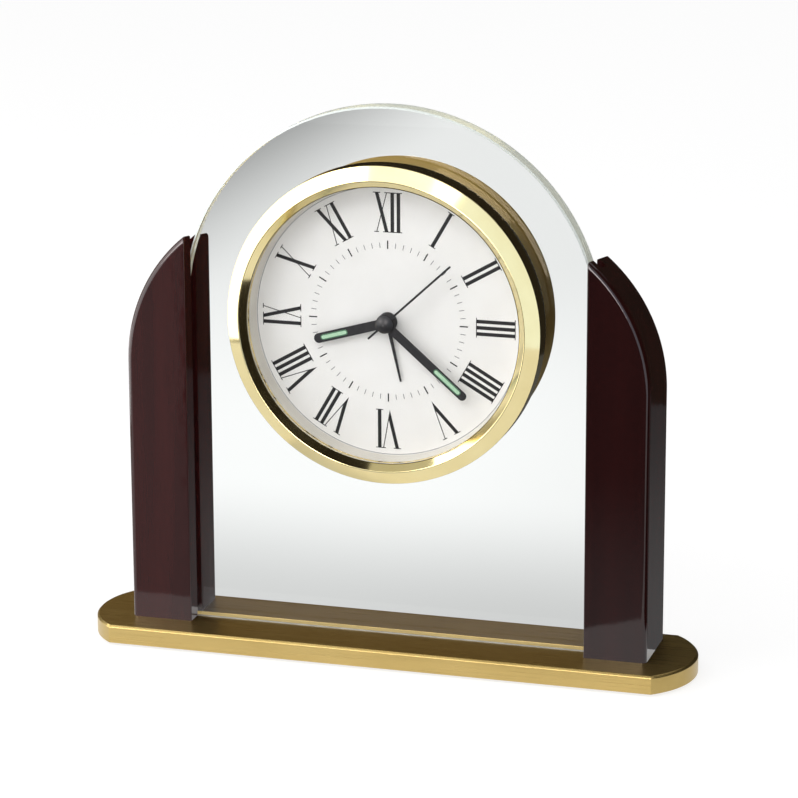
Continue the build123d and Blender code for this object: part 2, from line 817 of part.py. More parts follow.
# Second arbor: thin shaft through all the pipes, with the seconds wheel and its pinion
with BuildPart() as second_arbor:
    with BuildSketch(dial_plane(bridge_rear_y)):
        Circle(second_arbor_radius)
    extrude(amount=bridge_rear_y - second_hand_rear_y)
    with BuildSketch(dial_plane(seconds_layer + wheel_thickness)):
        GearOutline(seconds_wheel_teeth, seconds_module)
    extrude(amount=wheel_thickness)
    with BuildSketch(dial_plane(seconds_layer)):
        GearOutline(seconds_pinion_teeth, third_module)
    extrude(amount=seconds_layer - third_layer + pinion_overhang)
finish(second_arbor, "second_arbor")

# Third wheel and pinion, between the seconds pinion and the centre wheel
with BuildPart() as third_wheel:
    with BuildSketch(dial_plane(bridge_rear_y, third_axis)):
        Circle(arbor_radius)
    extrude(amount=bridge_rear_y - dial_rear_y)
    with BuildSketch(dial_plane(third_layer + wheel_thickness, third_axis)):
        GearOutline(third_wheel_teeth, third_module, third_wheel_phase)
    extrude(amount=wheel_thickness)
    with BuildSketch(dial_plane(third_layer, third_axis)):
        GearOutline(third_pinion_teeth, centre_module, third_pinion_phase)
    extrude(amount=third_layer - centre_layer + pinion_overhang)
finish(third_wheel, "third_wheel")

# Centre wheel, which turns the minute pipe through friction
with BuildPart() as centre_wheel:
    with BuildSketch(dial_plane(centre_layer + wheel_thickness)):
        GearOutline(centre_wheel_teeth, centre_module)
        Circle(minute_pipe_radius + running_clearance, mode=Mode.SUBTRACT)
    extrude(amount=wheel_thickness)
finish(centre_wheel, "centre_wheel")

# Step wheel and pinion, between the rotor and the seconds wheel
with BuildPart() as step_wheel:
    with BuildSketch(dial_plane(bridge_rear_y, step_axis)):
        Circle(arbor_radius)
    extrude(amount=bridge_rear_y - dial_rear_y)
    with BuildSketch(dial_plane(step_layer + wheel_thickness, step_axis)):
        GearOutline(step_wheel_teeth, step_module)
    extrude(amount=wheel_thickness)
    with BuildSketch(dial_plane(step_layer, step_axis)):
        GearOutline(step_pinion_teeth, seconds_module, step_pinion_phase)
    extrude(amount=step_layer - seconds_layer + pinion_overhang)
finish(step_wheel, "step_wheel")

# Rotor of the stepping motor: round magnet and pinion on one arbor
with BuildPart() as rotor:
    with BuildSketch(dial_plane(bridge_rear_y, rotor_axis)):
        Circle(arbor_radius)
    extrude(amount=bridge_rear_y - dial_rear_y)
    with BuildSketch(dial_plane(rotor_layer + wheel_thickness, rotor_axis)):
        Circle(rotor_magnet_radius)
    extrude(amount=wheel_thickness)
    with BuildSketch(dial_plane(rotor_layer, rotor_axis)):
        GearOutline(rotor_pinion_teeth, step_module, rotor_pinion_phase)
    extrude(amount=rotor_layer - step_layer + pinion_overhang)
finish(rotor, "rotor")

# Minute pipe with the cannon pinion
minute_pipe_rear_y = centre_layer + wheel_thickness + pinion_overhang
with BuildPart() as minute_pipe:
    with BuildSketch(dial_plane(minute_pipe_rear_y)):
        Circle(minute_pipe_radius)
    extrude(amount=minute_pipe_rear_y - minute_hand_rear_y + hand_thickness)
    with BuildSketch(dial_plane(motion_layer + wheel_thickness + pinion_overhang)):
        GearOutline(cannon_teeth, cannon_module)
    extrude(amount=wheel_thickness + 2 * pinion_overhang)
    with BuildSketch(dial_plane(minute_pipe_rear_y)):
        Circle(minute_bore)
    extrude(amount=minute_pipe_rear_y - minute_hand_rear_y + hand_thickness, mode=Mode.SUBTRACT)
finish(minute_pipe, "minute_pipe")

# Motion wheel and pinion, which turn the hour wheel at a twelfth of the minute pipe
with BuildPart() as motion_wheel:
    with BuildSketch(dial_plane(bridge_rear_y, motion_axis)):
        Circle(arbor_radius)
    extrude(amount=bridge_rear_y - dial_rear_y)
    with BuildSketch(dial_plane(motion_layer + wheel_thickness, motion_axis)):
        GearOutline(motion_wheel_teeth, cannon_module, motion_wheel_phase)
    extrude(amount=wheel_thickness)
    with BuildSketch(dial_plane(motion_layer, motion_axis)):
        GearOutline(motion_pinion_teeth, hour_module, motion_pinion_phase)
    extrude(amount=motion_layer - hour_layer + pinion_overhang)
finish(motion_wheel, "motion_wheel")

# Hour wheel on its pipe
with BuildPart() as hour_wheel:
    with BuildSketch(dial_plane(hour_layer + wheel_thickness)):
        GearOutline(hour_wheel_teeth, hour_module)
    extrude(amount=wheel_thickness)
    with BuildSketch(dial_plane(hour_layer)):
        Circle(hour_pipe_radius)
    extrude(amount=hour_layer - hour_hand_rear_y + hand_thickness)
    with BuildSketch(dial_plane(hour_layer + wheel_thickness)):
        Circle(hour_bore)
    extrude(amount=hour_layer + wheel_thickness - hour_hand_rear_y + hand_thickness, mode=Mode.SUBTRACT)
finish(hour_wheel, "hour_wheel")

# Alarm wheel on its pipe
with BuildPart() as alarm_wheel:
    with BuildSketch(dial_plane(alarm_layer + wheel_thickness)):
        GearOutline(alarm_wheel_teeth, alarm_module)
    extrude(amount=wheel_thickness)
    with BuildSketch(dial_plane(alarm_layer)):
        Circle(alarm_pipe_radius)
    extrude(amount=alarm_layer - alarm_hand_rear_y + hand_thickness)
    with BuildSketch(dial_plane(alarm_layer + wheel_thickness)):
        Circle(alarm_bore)
    extrude(amount=alarm_layer + wheel_thickness - alarm_hand_rear_y + hand_thickness, mode=Mode.SUBTRACT)
finish(alarm_wheel, "alarm_wheel")


def setting_pinion(axis, layer_y, teeth, module, phase):
    """Setting pinion on the long shaft that its knob is pressed on."""
    with BuildPart() as pinion:
        with BuildSketch(dial_plane(cover_rear_y + knob_gap + knob_height / 2, axis)):
            Circle(knob_shaft_radius)
        extrude(amount=cover_rear_y + knob_gap + knob_height / 2 - dial_rear_y)
        with BuildSketch(dial_plane(layer_y + wheel_thickness + pinion_overhang, axis)):
            GearOutline(teeth, module, phase)
        extrude(amount=wheel_thickness + 2 * pinion_overhang)
    return pinion


def setting_knob(axis):
    """Fluted knob with a blind bore for its shaft."""
    knob_rear_y = cover_rear_y + knob_gap + knob_height
    with BuildPart() as knob:
        with BuildSketch(dial_plane(knob_rear_y, axis)):
            Circle(knob_radius)
            with PolarLocations(knob_radius, knob_flutes):
                Circle(knob_flute_radius, mode=Mode.SUBTRACT)
        extrude(amount=knob_height)
        with BuildSketch(dial_plane(knob_rear_y - knob_height / 2, axis)):
            Circle(knob_shaft_radius)
        extrude(amount=knob_height / 2, mode=Mode.SUBTRACT)
    return knob


time_set_pinion = setting_pinion(
    time_axis, motion_layer, time_pinion_teeth, cannon_module, time_pinion_phase
)
finish(time_set_pinion, "time_set_pinion")
time_set_knob = setting_knob(time_axis)
finish(time_set_knob, "time_set_knob")
alarm_set_pinion = setting_pinion(
    alarm_axis, alarm_layer, alarm_pinion_teeth, alarm_module, alarm_pinion_phase
)
finish(alarm_set_pinion, "alarm_set_pinion")
alarm_set_knob = setting_knob(alarm_axis)
finish(alarm_set_knob, "alarm_set_knob")


def hand_plane(y, angle):
    """Dial plane turned clockwise, as the viewer sees it, so that its +Y points at an angle from twelve."""
    turn = radians(angle)
    return Plane(origin=(0, y, axis_z), x_dir=(cos(turn), 0, -sin(turn)), z_dir=(0, -1, 0))


def lume_middle(length, lume_length):
    """Distance from the axis to the middle of a lume strip near the tip of a hand."""
    return length - lume_end_gap - lume_length / 2


def baton_hand(rear_y, angle, length, width, bore, lume_length):
    """Baton hand with a pocket for its lume strip."""
    with BuildPart() as hand:
        with BuildSketch(hand_plane(rear_y, angle)):
            BatonOutline(length, width, hub_radius)
            Circle(bore, mode=Mode.SUBTRACT)
        extrude(amount=hand_thickness)
        with BuildSketch(hand_plane(rear_y - hand_thickness, angle)):
            with Locations((0, lume_middle(length, lume_length))):
                SlotOverall(lume_length, lume_width, rotation=90)
        extrude(amount=-lume_depth, mode=Mode.SUBTRACT)
    return hand


def lume_strip(rear_y, angle, length, lume_length):
    """Lume strip that fills the pocket of a hand, flush with its front."""
    with BuildPart() as strip:
        with BuildSketch(hand_plane(rear_y - hand_thickness, angle)):
            with Locations((0, lume_middle(length, lume_length))):
                SlotOverall(lume_length, lume_width, rotation=90)
        extrude(amount=-lume_depth)
    return strip


hour_hand = baton_hand(
    hour_hand_rear_y, hour_hand_angle, hour_hand_length, hour_hand_width, hour_pipe_radius, hour_lume_length
)
finish(hour_hand, "hour_hand")
hour_lume = lume_strip(hour_hand_rear_y, hour_hand_angle, hour_hand_length, hour_lume_length)
finish(hour_lume, "hour_lume")
minute_hand = baton_hand(
    minute_hand_rear_y,
    minute_hand_angle,
    minute_hand_length,
    minute_hand_width,
    minute_pipe_radius,
    minute_lume_length,
)
finish(minute_hand, "minute_hand")
minute_lume = lume_strip(minute_hand_rear_y, minute_hand_angle, minute_hand_length, minute_lume_length)
finish(minute_lume, "minute_lume")

# Thin tapered alarm hand, nearest the dial
with BuildPart() as alarm_hand:
    with BuildSketch(hand_plane(alarm_hand_rear_y, alarm_hand_angle)):
        Circle(hub_radius)
        with BuildLine():
            Polyline(
                (-alarm_hand_root / 2, 0),
                (alarm_hand_root / 2, 0),
                (alarm_hand_tip / 2, alarm_hand_length),
                (-alarm_hand_tip / 2, alarm_hand_length),
                close=True,
            )
        make_face()
        Circle(alarm_pipe_radius, mode=Mode.SUBTRACT)
    extrude(amount=hand_thickness)
finish(alarm_hand, "alarm_hand")

# Thin second hand with a tail and a domed cap
cap_foot_y = second_hand_rear_y - hand_thickness
cap_front_y = cap_foot_y - second_cap_height
dome_radius = (second_cap_radius**2 + second_cap_height**2) / (2 * second_cap_height)
dome_turn = asin(second_cap_radius / dome_radius) / 2
dome_middle = (dome_radius * sin(dome_turn), cap_front_y + dome_radius * (1 - cos(dome_turn)))

with BuildPart() as second_hand:
    with BuildSketch(hand_plane(second_hand_rear_y, second_hand_angle)):
        Circle(second_cap_radius)
        with Locations((0, (second_hand_length - second_hand_tail) / 2)):
            SlotOverall(second_hand_length + second_hand_tail, second_hand_width, rotation=90)
    extrude(amount=hand_thickness)
    with BuildSketch(section_plane):
        with BuildLine():
            foot = Polyline((0, cap_front_y), (0, cap_foot_y), (second_cap_radius, cap_foot_y))
            ThreePointArc(foot @ 1, dome_middle, foot @ 0)
        make_face()
    revolve(axis=insert_axis)
finish(second_hand, "second_hand")

# Stator: one lamination frame with the rotor hole and the core bar
stator_y = rotor_layer + wheel_thickness
stator_leg_z = (rotor_axis[1] + coil_z) / 2
with BuildPart() as stator:
    with BuildSketch(dial_plane(stator_y, (rotor_axis[0], 0))):
        with Locations((0, rotor_axis[1])):
            Rectangle(stator_length, stator_bar)
        with Locations((0, coil_z)):
            Rectangle(stator_length, core_width)
        with Locations((-stator_leg_x, stator_leg_z), (stator_leg_x, stator_leg_z)):
            Rectangle(stator_leg, coil_z - rotor_axis[1] + core_width)
        with Locations((0, rotor_axis[1])):
            Circle(rotor_magnet_radius + rotor_gap, mode=Mode.SUBTRACT)
    extrude(amount=wheel_thickness)
finish(stator, "stator")

# Coil: bobbin on the core bar and its winding
coil_plane = Plane(
    origin=(rotor_axis[0], rotor_layer + wheel_thickness / 2, axis_z + coil_z),
    x_dir=(0, 1, 0),
    z_dir=(1, 0, 0),
)
with BuildPart() as coil_bobbin:
    with BuildSketch(coil_plane.offset(-coil_length / 2)):
        Circle(bobbin_radius)
    extrude(amount=coil_length)
    flange_planes = (coil_plane.offset(-coil_length / 2), coil_plane.offset(coil_length / 2 - bobbin_flange))
    with BuildSketch(*flange_planes):
        Circle(coil_radius)
    extrude(amount=bobbin_flange)
    with BuildSketch(coil_plane.offset(-coil_length / 2)):
        Rectangle(wheel_thickness, core_width)
    extrude(amount=coil_length, mode=Mode.SUBTRACT)
finish(coil_bobbin, "coil_bobbin")

winding_length = coil_length - 2 * bobbin_flange
with BuildPart() as coil_winding:
    with BuildSketch(coil_plane.offset(-winding_length / 2)):
        Circle(coil_radius - bobbin_flange / 2)
        Circle(bobbin_radius, mode=Mode.SUBTRACT)
    extrude(amount=winding_length)
finish(coil_winding, "coil_winding")

# Circuit board on its posts
with BuildPart() as circuit_board:
    with BuildSketch(dial_plane(rotor_layer + board_thickness, (board_x, board_z))):
        Rectangle(board_width, board_height)
    extrude(amount=board_thickness)
finish(circuit_board, "circuit_board")

# Buzzer under the sound holes of the rear cover
with BuildPart() as buzzer:
    with BuildSketch(dial_plane(cover_front_y, (0, buzzer_rise))):
        Circle(buzzer_radius)
        Circle(sound_hole_ring + 2 * sound_hole_radius, mode=Mode.SUBTRACT)
    extrude(amount=buzzer_thickness / 2)
    with BuildSketch(dial_plane(cover_front_y - buzzer_thickness / 2, (0, buzzer_rise))):
        Circle(buzzer_radius)
    extrude(amount=buzzer_thickness / 2)
finish(buzzer, "buzzer")

# Battery, lying across the bottom of the housing
battery_plane = Plane(
    origin=(-(battery_length + battery_nub_length) / 2, battery_y, axis_z + battery_z),
    x_dir=(0, 1, 0),
    z_dir=(1, 0, 0),
)
with BuildPart() as battery:
    with BuildSketch(battery_plane):
        Circle(battery_radius)
    extrude(amount=battery_length)
    with BuildSketch(battery_plane.offset(battery_length)):
        Circle(battery_nub_radius)
    extrude(amount=battery_nub_length)
finish(battery, "battery")

# Battery contacts: two bent strips between the battery's ends and the housing wall
battery_half = (battery_length + battery_nub_length) / 2
contact_plane = Plane.XY.offset(axis_z + battery_z - contact_height / 2)
wall_x = case_inner_width / 2
with BuildPart() as battery_contacts:
    for side in (-1, 1):
        with BuildSketch(contact_plane) as strip:
            with BuildLine():
                Polyline(
                    (side * (wall_x - contact_thickness / 2), battery_y - contact_rise),
                    (side * (wall_x - contact_thickness / 2), battery_y + contact_rise),
                    (side * (battery_half + contact_thickness / 2), battery_y + contact_rise / 2),
                    (side * (battery_half + contact_thickness / 2), battery_y - contact_rise / 2),
                )
            trace(line_width=contact_thickness)
        extrude(strip.sketch, amount=contact_height)
finish(battery_contacts, "battery_contacts")

# Alarm switch: ribbed pad outside, stem in the slot and a plate inside the rear cover
with BuildPart() as alarm_switch:
    pad_rear_y = cover_rear_y + switch_gap + switch_pad_thickness
    plate_rear_y = cover_front_y - switch_gap
    with BuildSketch(dial_plane(pad_rear_y, (0, switch_z))):
        Rectangle(switch_pad_width, switch_pad_height)
    extrude(amount=switch_pad_thickness)
    with BuildSketch(dial_plane(pad_rear_y, (0, switch_z))):
        with GridLocations(2 * switch_rib, 0, 5, 1):
            Rectangle(switch_rib, switch_pad_height)
    extrude(amount=switch_rib, mode=Mode.SUBTRACT)
    with BuildSketch(dial_plane(cover_rear_y + switch_gap, (0, switch_z))):
        Rectangle(switch_stem_width, switch_stem_height)
    extrude(amount=cover_thickness + 2 * switch_gap)
    with BuildSketch(dial_plane(plate_rear_y, (switch_travel / 2, switch_z))):
        Rectangle(switch_plate_width, switch_plate_height)
    extrude(amount=switch_plate_thickness)
finish(alarm_switch, "alarm_switch")
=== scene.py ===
import math

import bmesh
import bpy
from mathutils import Matrix, Vector


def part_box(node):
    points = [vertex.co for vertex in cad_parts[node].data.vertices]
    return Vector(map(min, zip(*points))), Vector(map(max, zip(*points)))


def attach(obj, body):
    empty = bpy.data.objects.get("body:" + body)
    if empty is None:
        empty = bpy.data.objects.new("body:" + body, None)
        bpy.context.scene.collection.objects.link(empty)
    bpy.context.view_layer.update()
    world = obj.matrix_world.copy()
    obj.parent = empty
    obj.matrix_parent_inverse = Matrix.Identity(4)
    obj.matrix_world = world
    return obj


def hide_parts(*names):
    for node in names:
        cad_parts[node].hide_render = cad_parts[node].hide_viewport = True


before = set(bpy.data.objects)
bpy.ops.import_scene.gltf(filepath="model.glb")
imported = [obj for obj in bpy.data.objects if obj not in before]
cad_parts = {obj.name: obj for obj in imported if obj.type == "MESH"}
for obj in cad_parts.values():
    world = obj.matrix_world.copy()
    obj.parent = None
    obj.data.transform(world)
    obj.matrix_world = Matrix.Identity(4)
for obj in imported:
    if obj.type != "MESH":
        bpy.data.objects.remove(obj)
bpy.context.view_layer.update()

# Base plate: satin brass bar with bowed ends and a chamfered top edge, milled with a groove for the glass.
# It is brushed along its length and lacquered. The columns are screwed to it from below.
# It is left out of mirrors, so that the bezel and the columns mirror the studio alone.
mm = 0.001
stand = "stand_and_case"
base_edge_round = 0.12 * mm
brass_light = (0.50, 0.37, 0.142)
brass_dark = (0.44, 0.318, 0.113)


def new_finish(name, colour, roughness, metallic=0.0):
    """New node material, with its tree and its main shader."""
    finish = bpy.data.materials.new(name)
    finish.use_nodes = True
    tree = finish.node_tree
    shader = tree.nodes["Principled BSDF"]
    shader.inputs["Base Color"].default_value = (*colour, 1)
    shader.inputs["Roughness"].default_value = roughness
    shader.inputs["Metallic"].default_value = metallic
    return finish, tree, shader


def grains(tree, size, detail=3.0):
    """Noise in the piece's own space, with grains of a size in mm along X, Y and Z."""
    place = tree.nodes.new("ShaderNodeTexCoord")
    mapping = tree.nodes.new("ShaderNodeMapping")
    mapping.inputs["Scale"].default_value = [1 / (length * mm) for length in size]
    noise = tree.nodes.new("ShaderNodeTexNoise")
    noise.inputs["Scale"].default_value = 1.0
    noise.inputs["Detail"].default_value = detail
    tree.links.new(place.outputs["Object"], mapping.inputs["Vector"])
    tree.links.new(mapping.outputs["Vector"], noise.inputs["Vector"])
    return noise.outputs["Fac"]


def spread(tree, value, low, high, start=0.3, end=0.7):
    """Value stretched from its range, which is that of noise if none is given, to low and high."""
    mapped = tree.nodes.new("ShaderNodeMapRange")
    mapped.inputs["From Min"].default_value = start
    mapped.inputs["From Max"].default_value = end
    mapped.inputs["To Min"].default_value = low
    mapped.inputs["To Max"].default_value = high
    tree.links.new(value, mapped.inputs["Value"])
    return mapped.outputs["Result"]


def tint(tree, shader, share, first, second):
    """Base colour that goes from the first colour to the second with a share from 0 to 1."""
    mix = tree.nodes.new("ShaderNodeMix")
    mix.data_type = "RGBA"
    mix.inputs["A"].default_value = (*first, 1)
    mix.inputs["B"].default_value = (*second, 1)
    tree.links.new(share, mix.inputs["Factor"])
    tree.links.new(mix.outputs["Result"], shader.inputs["Base Color"])


def mottle(tree, shader, noise, first, second):
    """Base colour that drifts between two colours with a noise."""
    tint(tree, shader, spread(tree, noise, 0.0, 1.0), first, second)


def vary_roughness(tree, shader, noise, low, high, start=0.3, end=0.7):
    """Roughness that drifts between low and high with a noise."""
    tree.links.new(spread(tree, noise, low, high, start, end), shader.inputs["Roughness"])


def relief(tree, shader, noise, height, socket="Normal"):
    """Fine surface relief of a height in mm."""
    bump = tree.nodes.new("ShaderNodeBump")
    bump.inputs["Strength"].default_value = 1.0
    bump.inputs["Distance"].default_value = height * mm
    tree.links.new(noise, bump.inputs["Height"])
    tree.links.new(bump.outputs["Normal"], shader.inputs[socket])


def cad_copy(node):
    """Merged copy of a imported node's mesh, with its flat faces joined up."""
    shape = bmesh.new()
    shape.from_mesh(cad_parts[node].data)
    bmesh.ops.remove_doubles(shape, verts=shape.verts, dist=1e-6)
    bmesh.ops.dissolve_limit(
        shape, angle_limit=math.radians(0.2), verts=shape.verts, edges=shape.edges, delimit=set()
    )
    return shape


def round_edges(shape, edges, width, segments):
    """Round of a width on some edges."""
    bmesh.ops.bevel(
        shape, geom=edges, offset=width, segments=segments, profile=0.5, affect="EDGES",
        clamp_overlap=True, material=-1,
    )


def soften(shape, width, segments=2, least=30.0):
    """Small round on every edge that is sharper than an angle in degrees."""
    sharp = [edge for edge in shape.edges if edge.calc_face_angle(0.0) > math.radians(least)]
    round_edges(shape, sharp, width, segments)


def to_object(name, shape, finishes):
    """Object in the scene from a shape that is done with."""
    mesh = bpy.data.meshes.new(name)
    shape.to_mesh(mesh)
    shape.free()
    for finish in finishes:
        mesh.materials.append(finish)
    made = bpy.data.objects.new(name, mesh)
    bpy.context.scene.collection.objects.link(made)
    return made


def make_piece(name, shape, finishes, body, slot, *nodes):
    """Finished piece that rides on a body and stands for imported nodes. Open edges are shaded sharp."""
    crease = math.radians(30)
    for face in shape.faces:
        face.smooth = True
    for edge in shape.edges:
        edge.smooth = edge.calc_face_angle(math.pi) < crease
    made = to_object(name, shape, finishes)
    shading = made.modifiers.new("even_shading", "WEIGHTED_NORMAL")
    shading.keep_sharp = True
    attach(made, body)
    if nodes:
        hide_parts(*nodes)
    return made


satin_brass, tree, shader = new_finish("satin_brass", brass_light, roughness=0.3, metallic=1.0)
brushing = grains(tree, (30, 0.12, 0.12), detail=4.0)
tarnish = grains(tree, (30, 12, 12), detail=5.0)
mottle(tree, shader, tarnish, brass_light, brass_dark)
vary_roughness(tree, shader, brushing, 0.24, 0.42)
relief(tree, shader, brushing, 0.004)

base = cad_copy("base_plate")
soften(base, base_edge_round)
brass_base = make_piece("brass_base", base, [satin_brass], stand, "satin_brass", "base_plate")
brass_base.visible_glossy = False

# Felt pad: a die cut sheet of dark wool felt, glued under the base so that it does not scratch a table.
# Its cut edge is soft and a little fuzzy. Mirrors leave it out, as they do the base.
felt_edge_round = 0.22 * mm


def srgb(red, green, blue):
    """Linear colour from the 0 to 255 values of a picture."""
    shares = [channel / 255 for channel in (red, green, blue)]
    return tuple(s / 12.92 if s <= 0.04045 else ((s + 0.055) / 1.055) ** 2.4 for s in shares)


def specks(tree, size, detail=3.0):
    """Noise with grains of one size in mm in every direction."""
    return grains(tree, (size, size, size), detail)


felt_light = srgb(52, 46, 42)
felt_dark = srgb(24, 21, 19)
felt, tree, shader = new_finish("wool_felt", felt_dark, roughness=0.95)
fibres = specks(tree, 0.4, detail=6.0)
mottle(tree, shader, fibres, felt_dark, felt_light)
shader.inputs["Sheen Weight"].default_value = 0.4
shader.inputs["Sheen Roughness"].default_value = 0.5
relief(tree, shader, fibres, 0.3)

pad = cad_copy("base_pad")
soften(pad, felt_edge_round, segments=3)
felt_pad = make_piece("felt_pad", pad, [felt], stand, "felt", "base_pad")
felt_pad.visible_glossy = False

# Columns: mahogany blocks with one swept corner, grooved on the inner face for the glass.
# They are stained dark red brown and finished in several coats of clear gloss lacquer.
# The right one's colour is scaled darker by its share, which is painted shade.
stain_red = (0.040, 0.0068, 0.0066)
stain_dark = (0.024, 0.0044, 0.0046)
painted_shade_shares = {"left": 1.0, "right": 0.55}
pore_share = 0.35


def worked_out(tree, operation, *terms):
    """Number that a sum gives from other sockets and plain numbers."""
    node = tree.nodes.new("ShaderNodeMath")
    node.operation = operation
    for entry, term in zip(node.inputs, terms):
        if isinstance(term, bpy.types.NodeSocket):
            tree.links.new(term, entry)
        else:
            entry.default_value = term
    return node.outputs["Value"]


def stained(name, red, dark):
    """Lacquered wood from its two stains, with a figure, pores and the slight waves of the lacquer."""
    finish, tree, shader = new_finish(name, red, roughness=0.45)
    figure = spread(tree, grains(tree, (6, 6, 90), detail=5.0), 0.0, 1.0)
    pores = spread(tree, grains(tree, (0.35, 0.35, 7), detail=2.0), 0.0, 1.0, 0.5, 0.75)
    tint(tree, shader, worked_out(tree, "MULTIPLY_ADD", pores, pore_share, figure), red, dark)
    shader.inputs["Specular IOR Level"].default_value = 0.0
    shader.inputs["Coat Weight"].default_value = 1.0
    shader.inputs["Coat Roughness"].default_value = 0.07
    shader.inputs["Coat IOR"].default_value = 1.5
    orange_peel = grains(tree, (4, 4, 6), detail=1.0)
    relief(tree, shader, orange_peel, 0.03, "Coat Normal")
    return finish


# Each side's share scales its stain colours; the right column's lower share is painted shade.
for side, share in painted_shade_shares.items():
    red, dark = [tuple(share * channel for channel in tone) for tone in (stain_red, stain_dark)]
    mahogany = stained(f"{side}_mahogany", red, dark)
    column = cad_copy(f"{side}_column")
    make_piece(
        f"{side}_lacquered_column", column, [mahogany], stand, "lacquered_wood", f"{side}_column",
    )

# Column screws: four countersunk steel wood screws from below, hidden by the felt.
# They are zinc plated, and the plating is a little uneven.
zinc_light = (0.62, 0.61, 0.58)
zinc_dark = (0.42, 0.42, 0.41)


def plated(name, light, dark, roughness, patch):
    """Plated or drawn metal with an uneven tone, in patches of a size in mm, and a fine grain."""
    finish, tree, shader = new_finish(name, light, roughness, metallic=1.0)
    patches = specks(tree, patch, detail=4.0)
    mottle(tree, shader, patches, light, dark)
    vary_roughness(tree, shader, patches, roughness * 0.8, roughness * 1.3)
    relief(tree, shader, specks(tree, patch / 8), 0.006)
    return finish


def dress(finish, *nodes):
    """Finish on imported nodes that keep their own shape."""
    for node in nodes:
        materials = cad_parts[node].data.materials
        materials.clear()
        materials.append(finish)


screw_zinc = plated("zinc_plate", zinc_light, zinc_dark, roughness=0.32, patch=1.0)
dress(screw_zinc, "column_screws")

# Glass panel: 6 mm float glass with a round top and a drilled hole, ground and polished on its edges.
# Its foot stands in the groove of the base and its sides stand in the grooves of the columns.
glass_tone = (0.965, 0.985, 0.975)
ground_tone = (0.80, 0.86, 0.83)
ground_dark = (0.74, 0.80, 0.77)
float_glass_index = 1.52
hole_radius = 44.58 * mm
hole_margin = 1.0 * mm
panel_low, panel_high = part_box("glass_panel")
arch_radius = panel_high.x
arch_z = panel_high.z - arch_radius
clear_glass, tree, shader = new_finish("float_glass", glass_tone, roughness=0.0)
shader.inputs["Transmission Weight"].default_value = 1.0
shader.inputs["IOR"].default_value = float_glass_index
shader.inputs["Specular Tint"].default_value = (0.5, 0.5, 0.5, 1)
handling = specks(tree, 20, detail=5.0)
vary_roughness(tree, shader, handling, 0.0, 0.012, 0.45, 0.8)

ground_edge, tree, shader = new_finish("ground_edge", ground_tone, roughness=0.28)
shader.inputs["Transmission Weight"].default_value = 0.25
shader.inputs["IOR"].default_value = float_glass_index
wheel_marks = grains(tree, (3, 0.5, 3))
mottle(tree, shader, wheel_marks, ground_tone, ground_dark)
vary_roughness(tree, shader, wheel_marks, 0.22, 0.34)


def let_light_through(piece):
    """Clear piece that casts no shadow and that mirrors leave out."""
    piece.visible_shadow = False
    piece.visible_diffuse = False
    piece.visible_glossy = False


panel = cad_copy("glass_panel")
panel.normal_update()
for face in panel.faces:
    middle = face.calc_center_median()
    outside_hole = math.hypot(middle.x, middle.z - arch_z) > hole_radius + hole_margin
    face.material_index = 1 if outside_hole and abs(face.normal.y) < 0.95 else 0
glass_panel = make_piece(
    "arched_glass", panel, [clear_glass, ground_edge], stand, "clear_glass", "glass_panel",
)
let_light_through(glass_panel)

# Sealing bead: a thin line of clear cement, run along the foot of the glass where it enters the groove.
# It sets milky white and catches the light.
bead_height = 0.4 * mm
bead_half_length = 58.2 * mm
bead_round = 0.1 * mm
base_top_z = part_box("base_plate")[1].z
cement_white = (0.50, 0.49, 0.45)
cement_grey = (0.34, 0.33, 0.29)
cement, tree, shader = new_finish("clear_cement", cement_white, roughness=0.25)
shader.inputs["Transmission Weight"].default_value = 0.25
lumps = grains(tree, (4, 1, 1))
mottle(tree, shader, lumps, cement_white, cement_grey)
relief(tree, shader, lumps, 0.04)


def draw_out(shape, faces, step):
    """Faces drawn out by a step, with walls behind them."""
    drawn = bmesh.ops.extrude_face_region(shape, geom=faces)
    moved = [part for part in drawn["geom"] if isinstance(part, bmesh.types.BMVert)]
    bmesh.ops.translate(shape, vec=step, verts=moved)


bead = bmesh.new()
section = [(panel_low.y, 0.0), (panel_low.y - bead_height, 0.0), (panel_low.y, bead_height)]
corners = [bead.verts.new((-bead_half_length, y, base_top_z + rise)) for y, rise in section]
draw_out(bead, [bead.faces.new(corners)], (2 * bead_half_length, 0, 0))
bmesh.ops.recalc_face_normals(bead, faces=bead.faces)
soften(bead, bead_round, least=60.0)
make_piece("sealing_bead", bead, [cement], stand, "clear_glass")

# Drum: a drawn brass tube that carries the whole clock insert through the hole in the glass.
# It is satin turned, so its marks run round it, and its rear edge is rolled.
drum_low, drum_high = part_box("drum_case")
axis_z = (drum_low.z + drum_high.z) / 2
drum_radius = drum_high.x
drum_front_y = drum_low.y
drum_rear_y = drum_high.y
drum_wall = 0.8 * mm
drum_shoulder = 1.6 * mm
drum_rear_round = 0.45 * mm
drum_inner_round = 0.2 * mm
cover_seat_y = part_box("rear_cover")[0].y
turning_steps = 192
drum_light = (0.82, 0.57, 0.17)
drum_dark = (0.68, 0.46, 0.12)


def turned(points):
    """Ring or disc turned about the axis of the insert, from the radius and depth of its corners."""
    shape = bmesh.new()
    corners = [shape.verts.new((radius, depth, axis_z)) for radius, depth in points]
    for first, second in zip(corners, corners[1:] + corners[:1]):
        shape.edges.new((first, second))
    bmesh.ops.spin(
        shape, geom=shape.verts[:] + shape.edges[:], cent=(0, 0, axis_z), axis=(0, 1, 0),
        angle=math.tau, steps=turning_steps, use_merge=True,
    )
    bmesh.ops.remove_doubles(shape, verts=shape.verts, dist=1e-7)
    bmesh.ops.recalc_face_normals(shape, faces=shape.faces)
    return shape


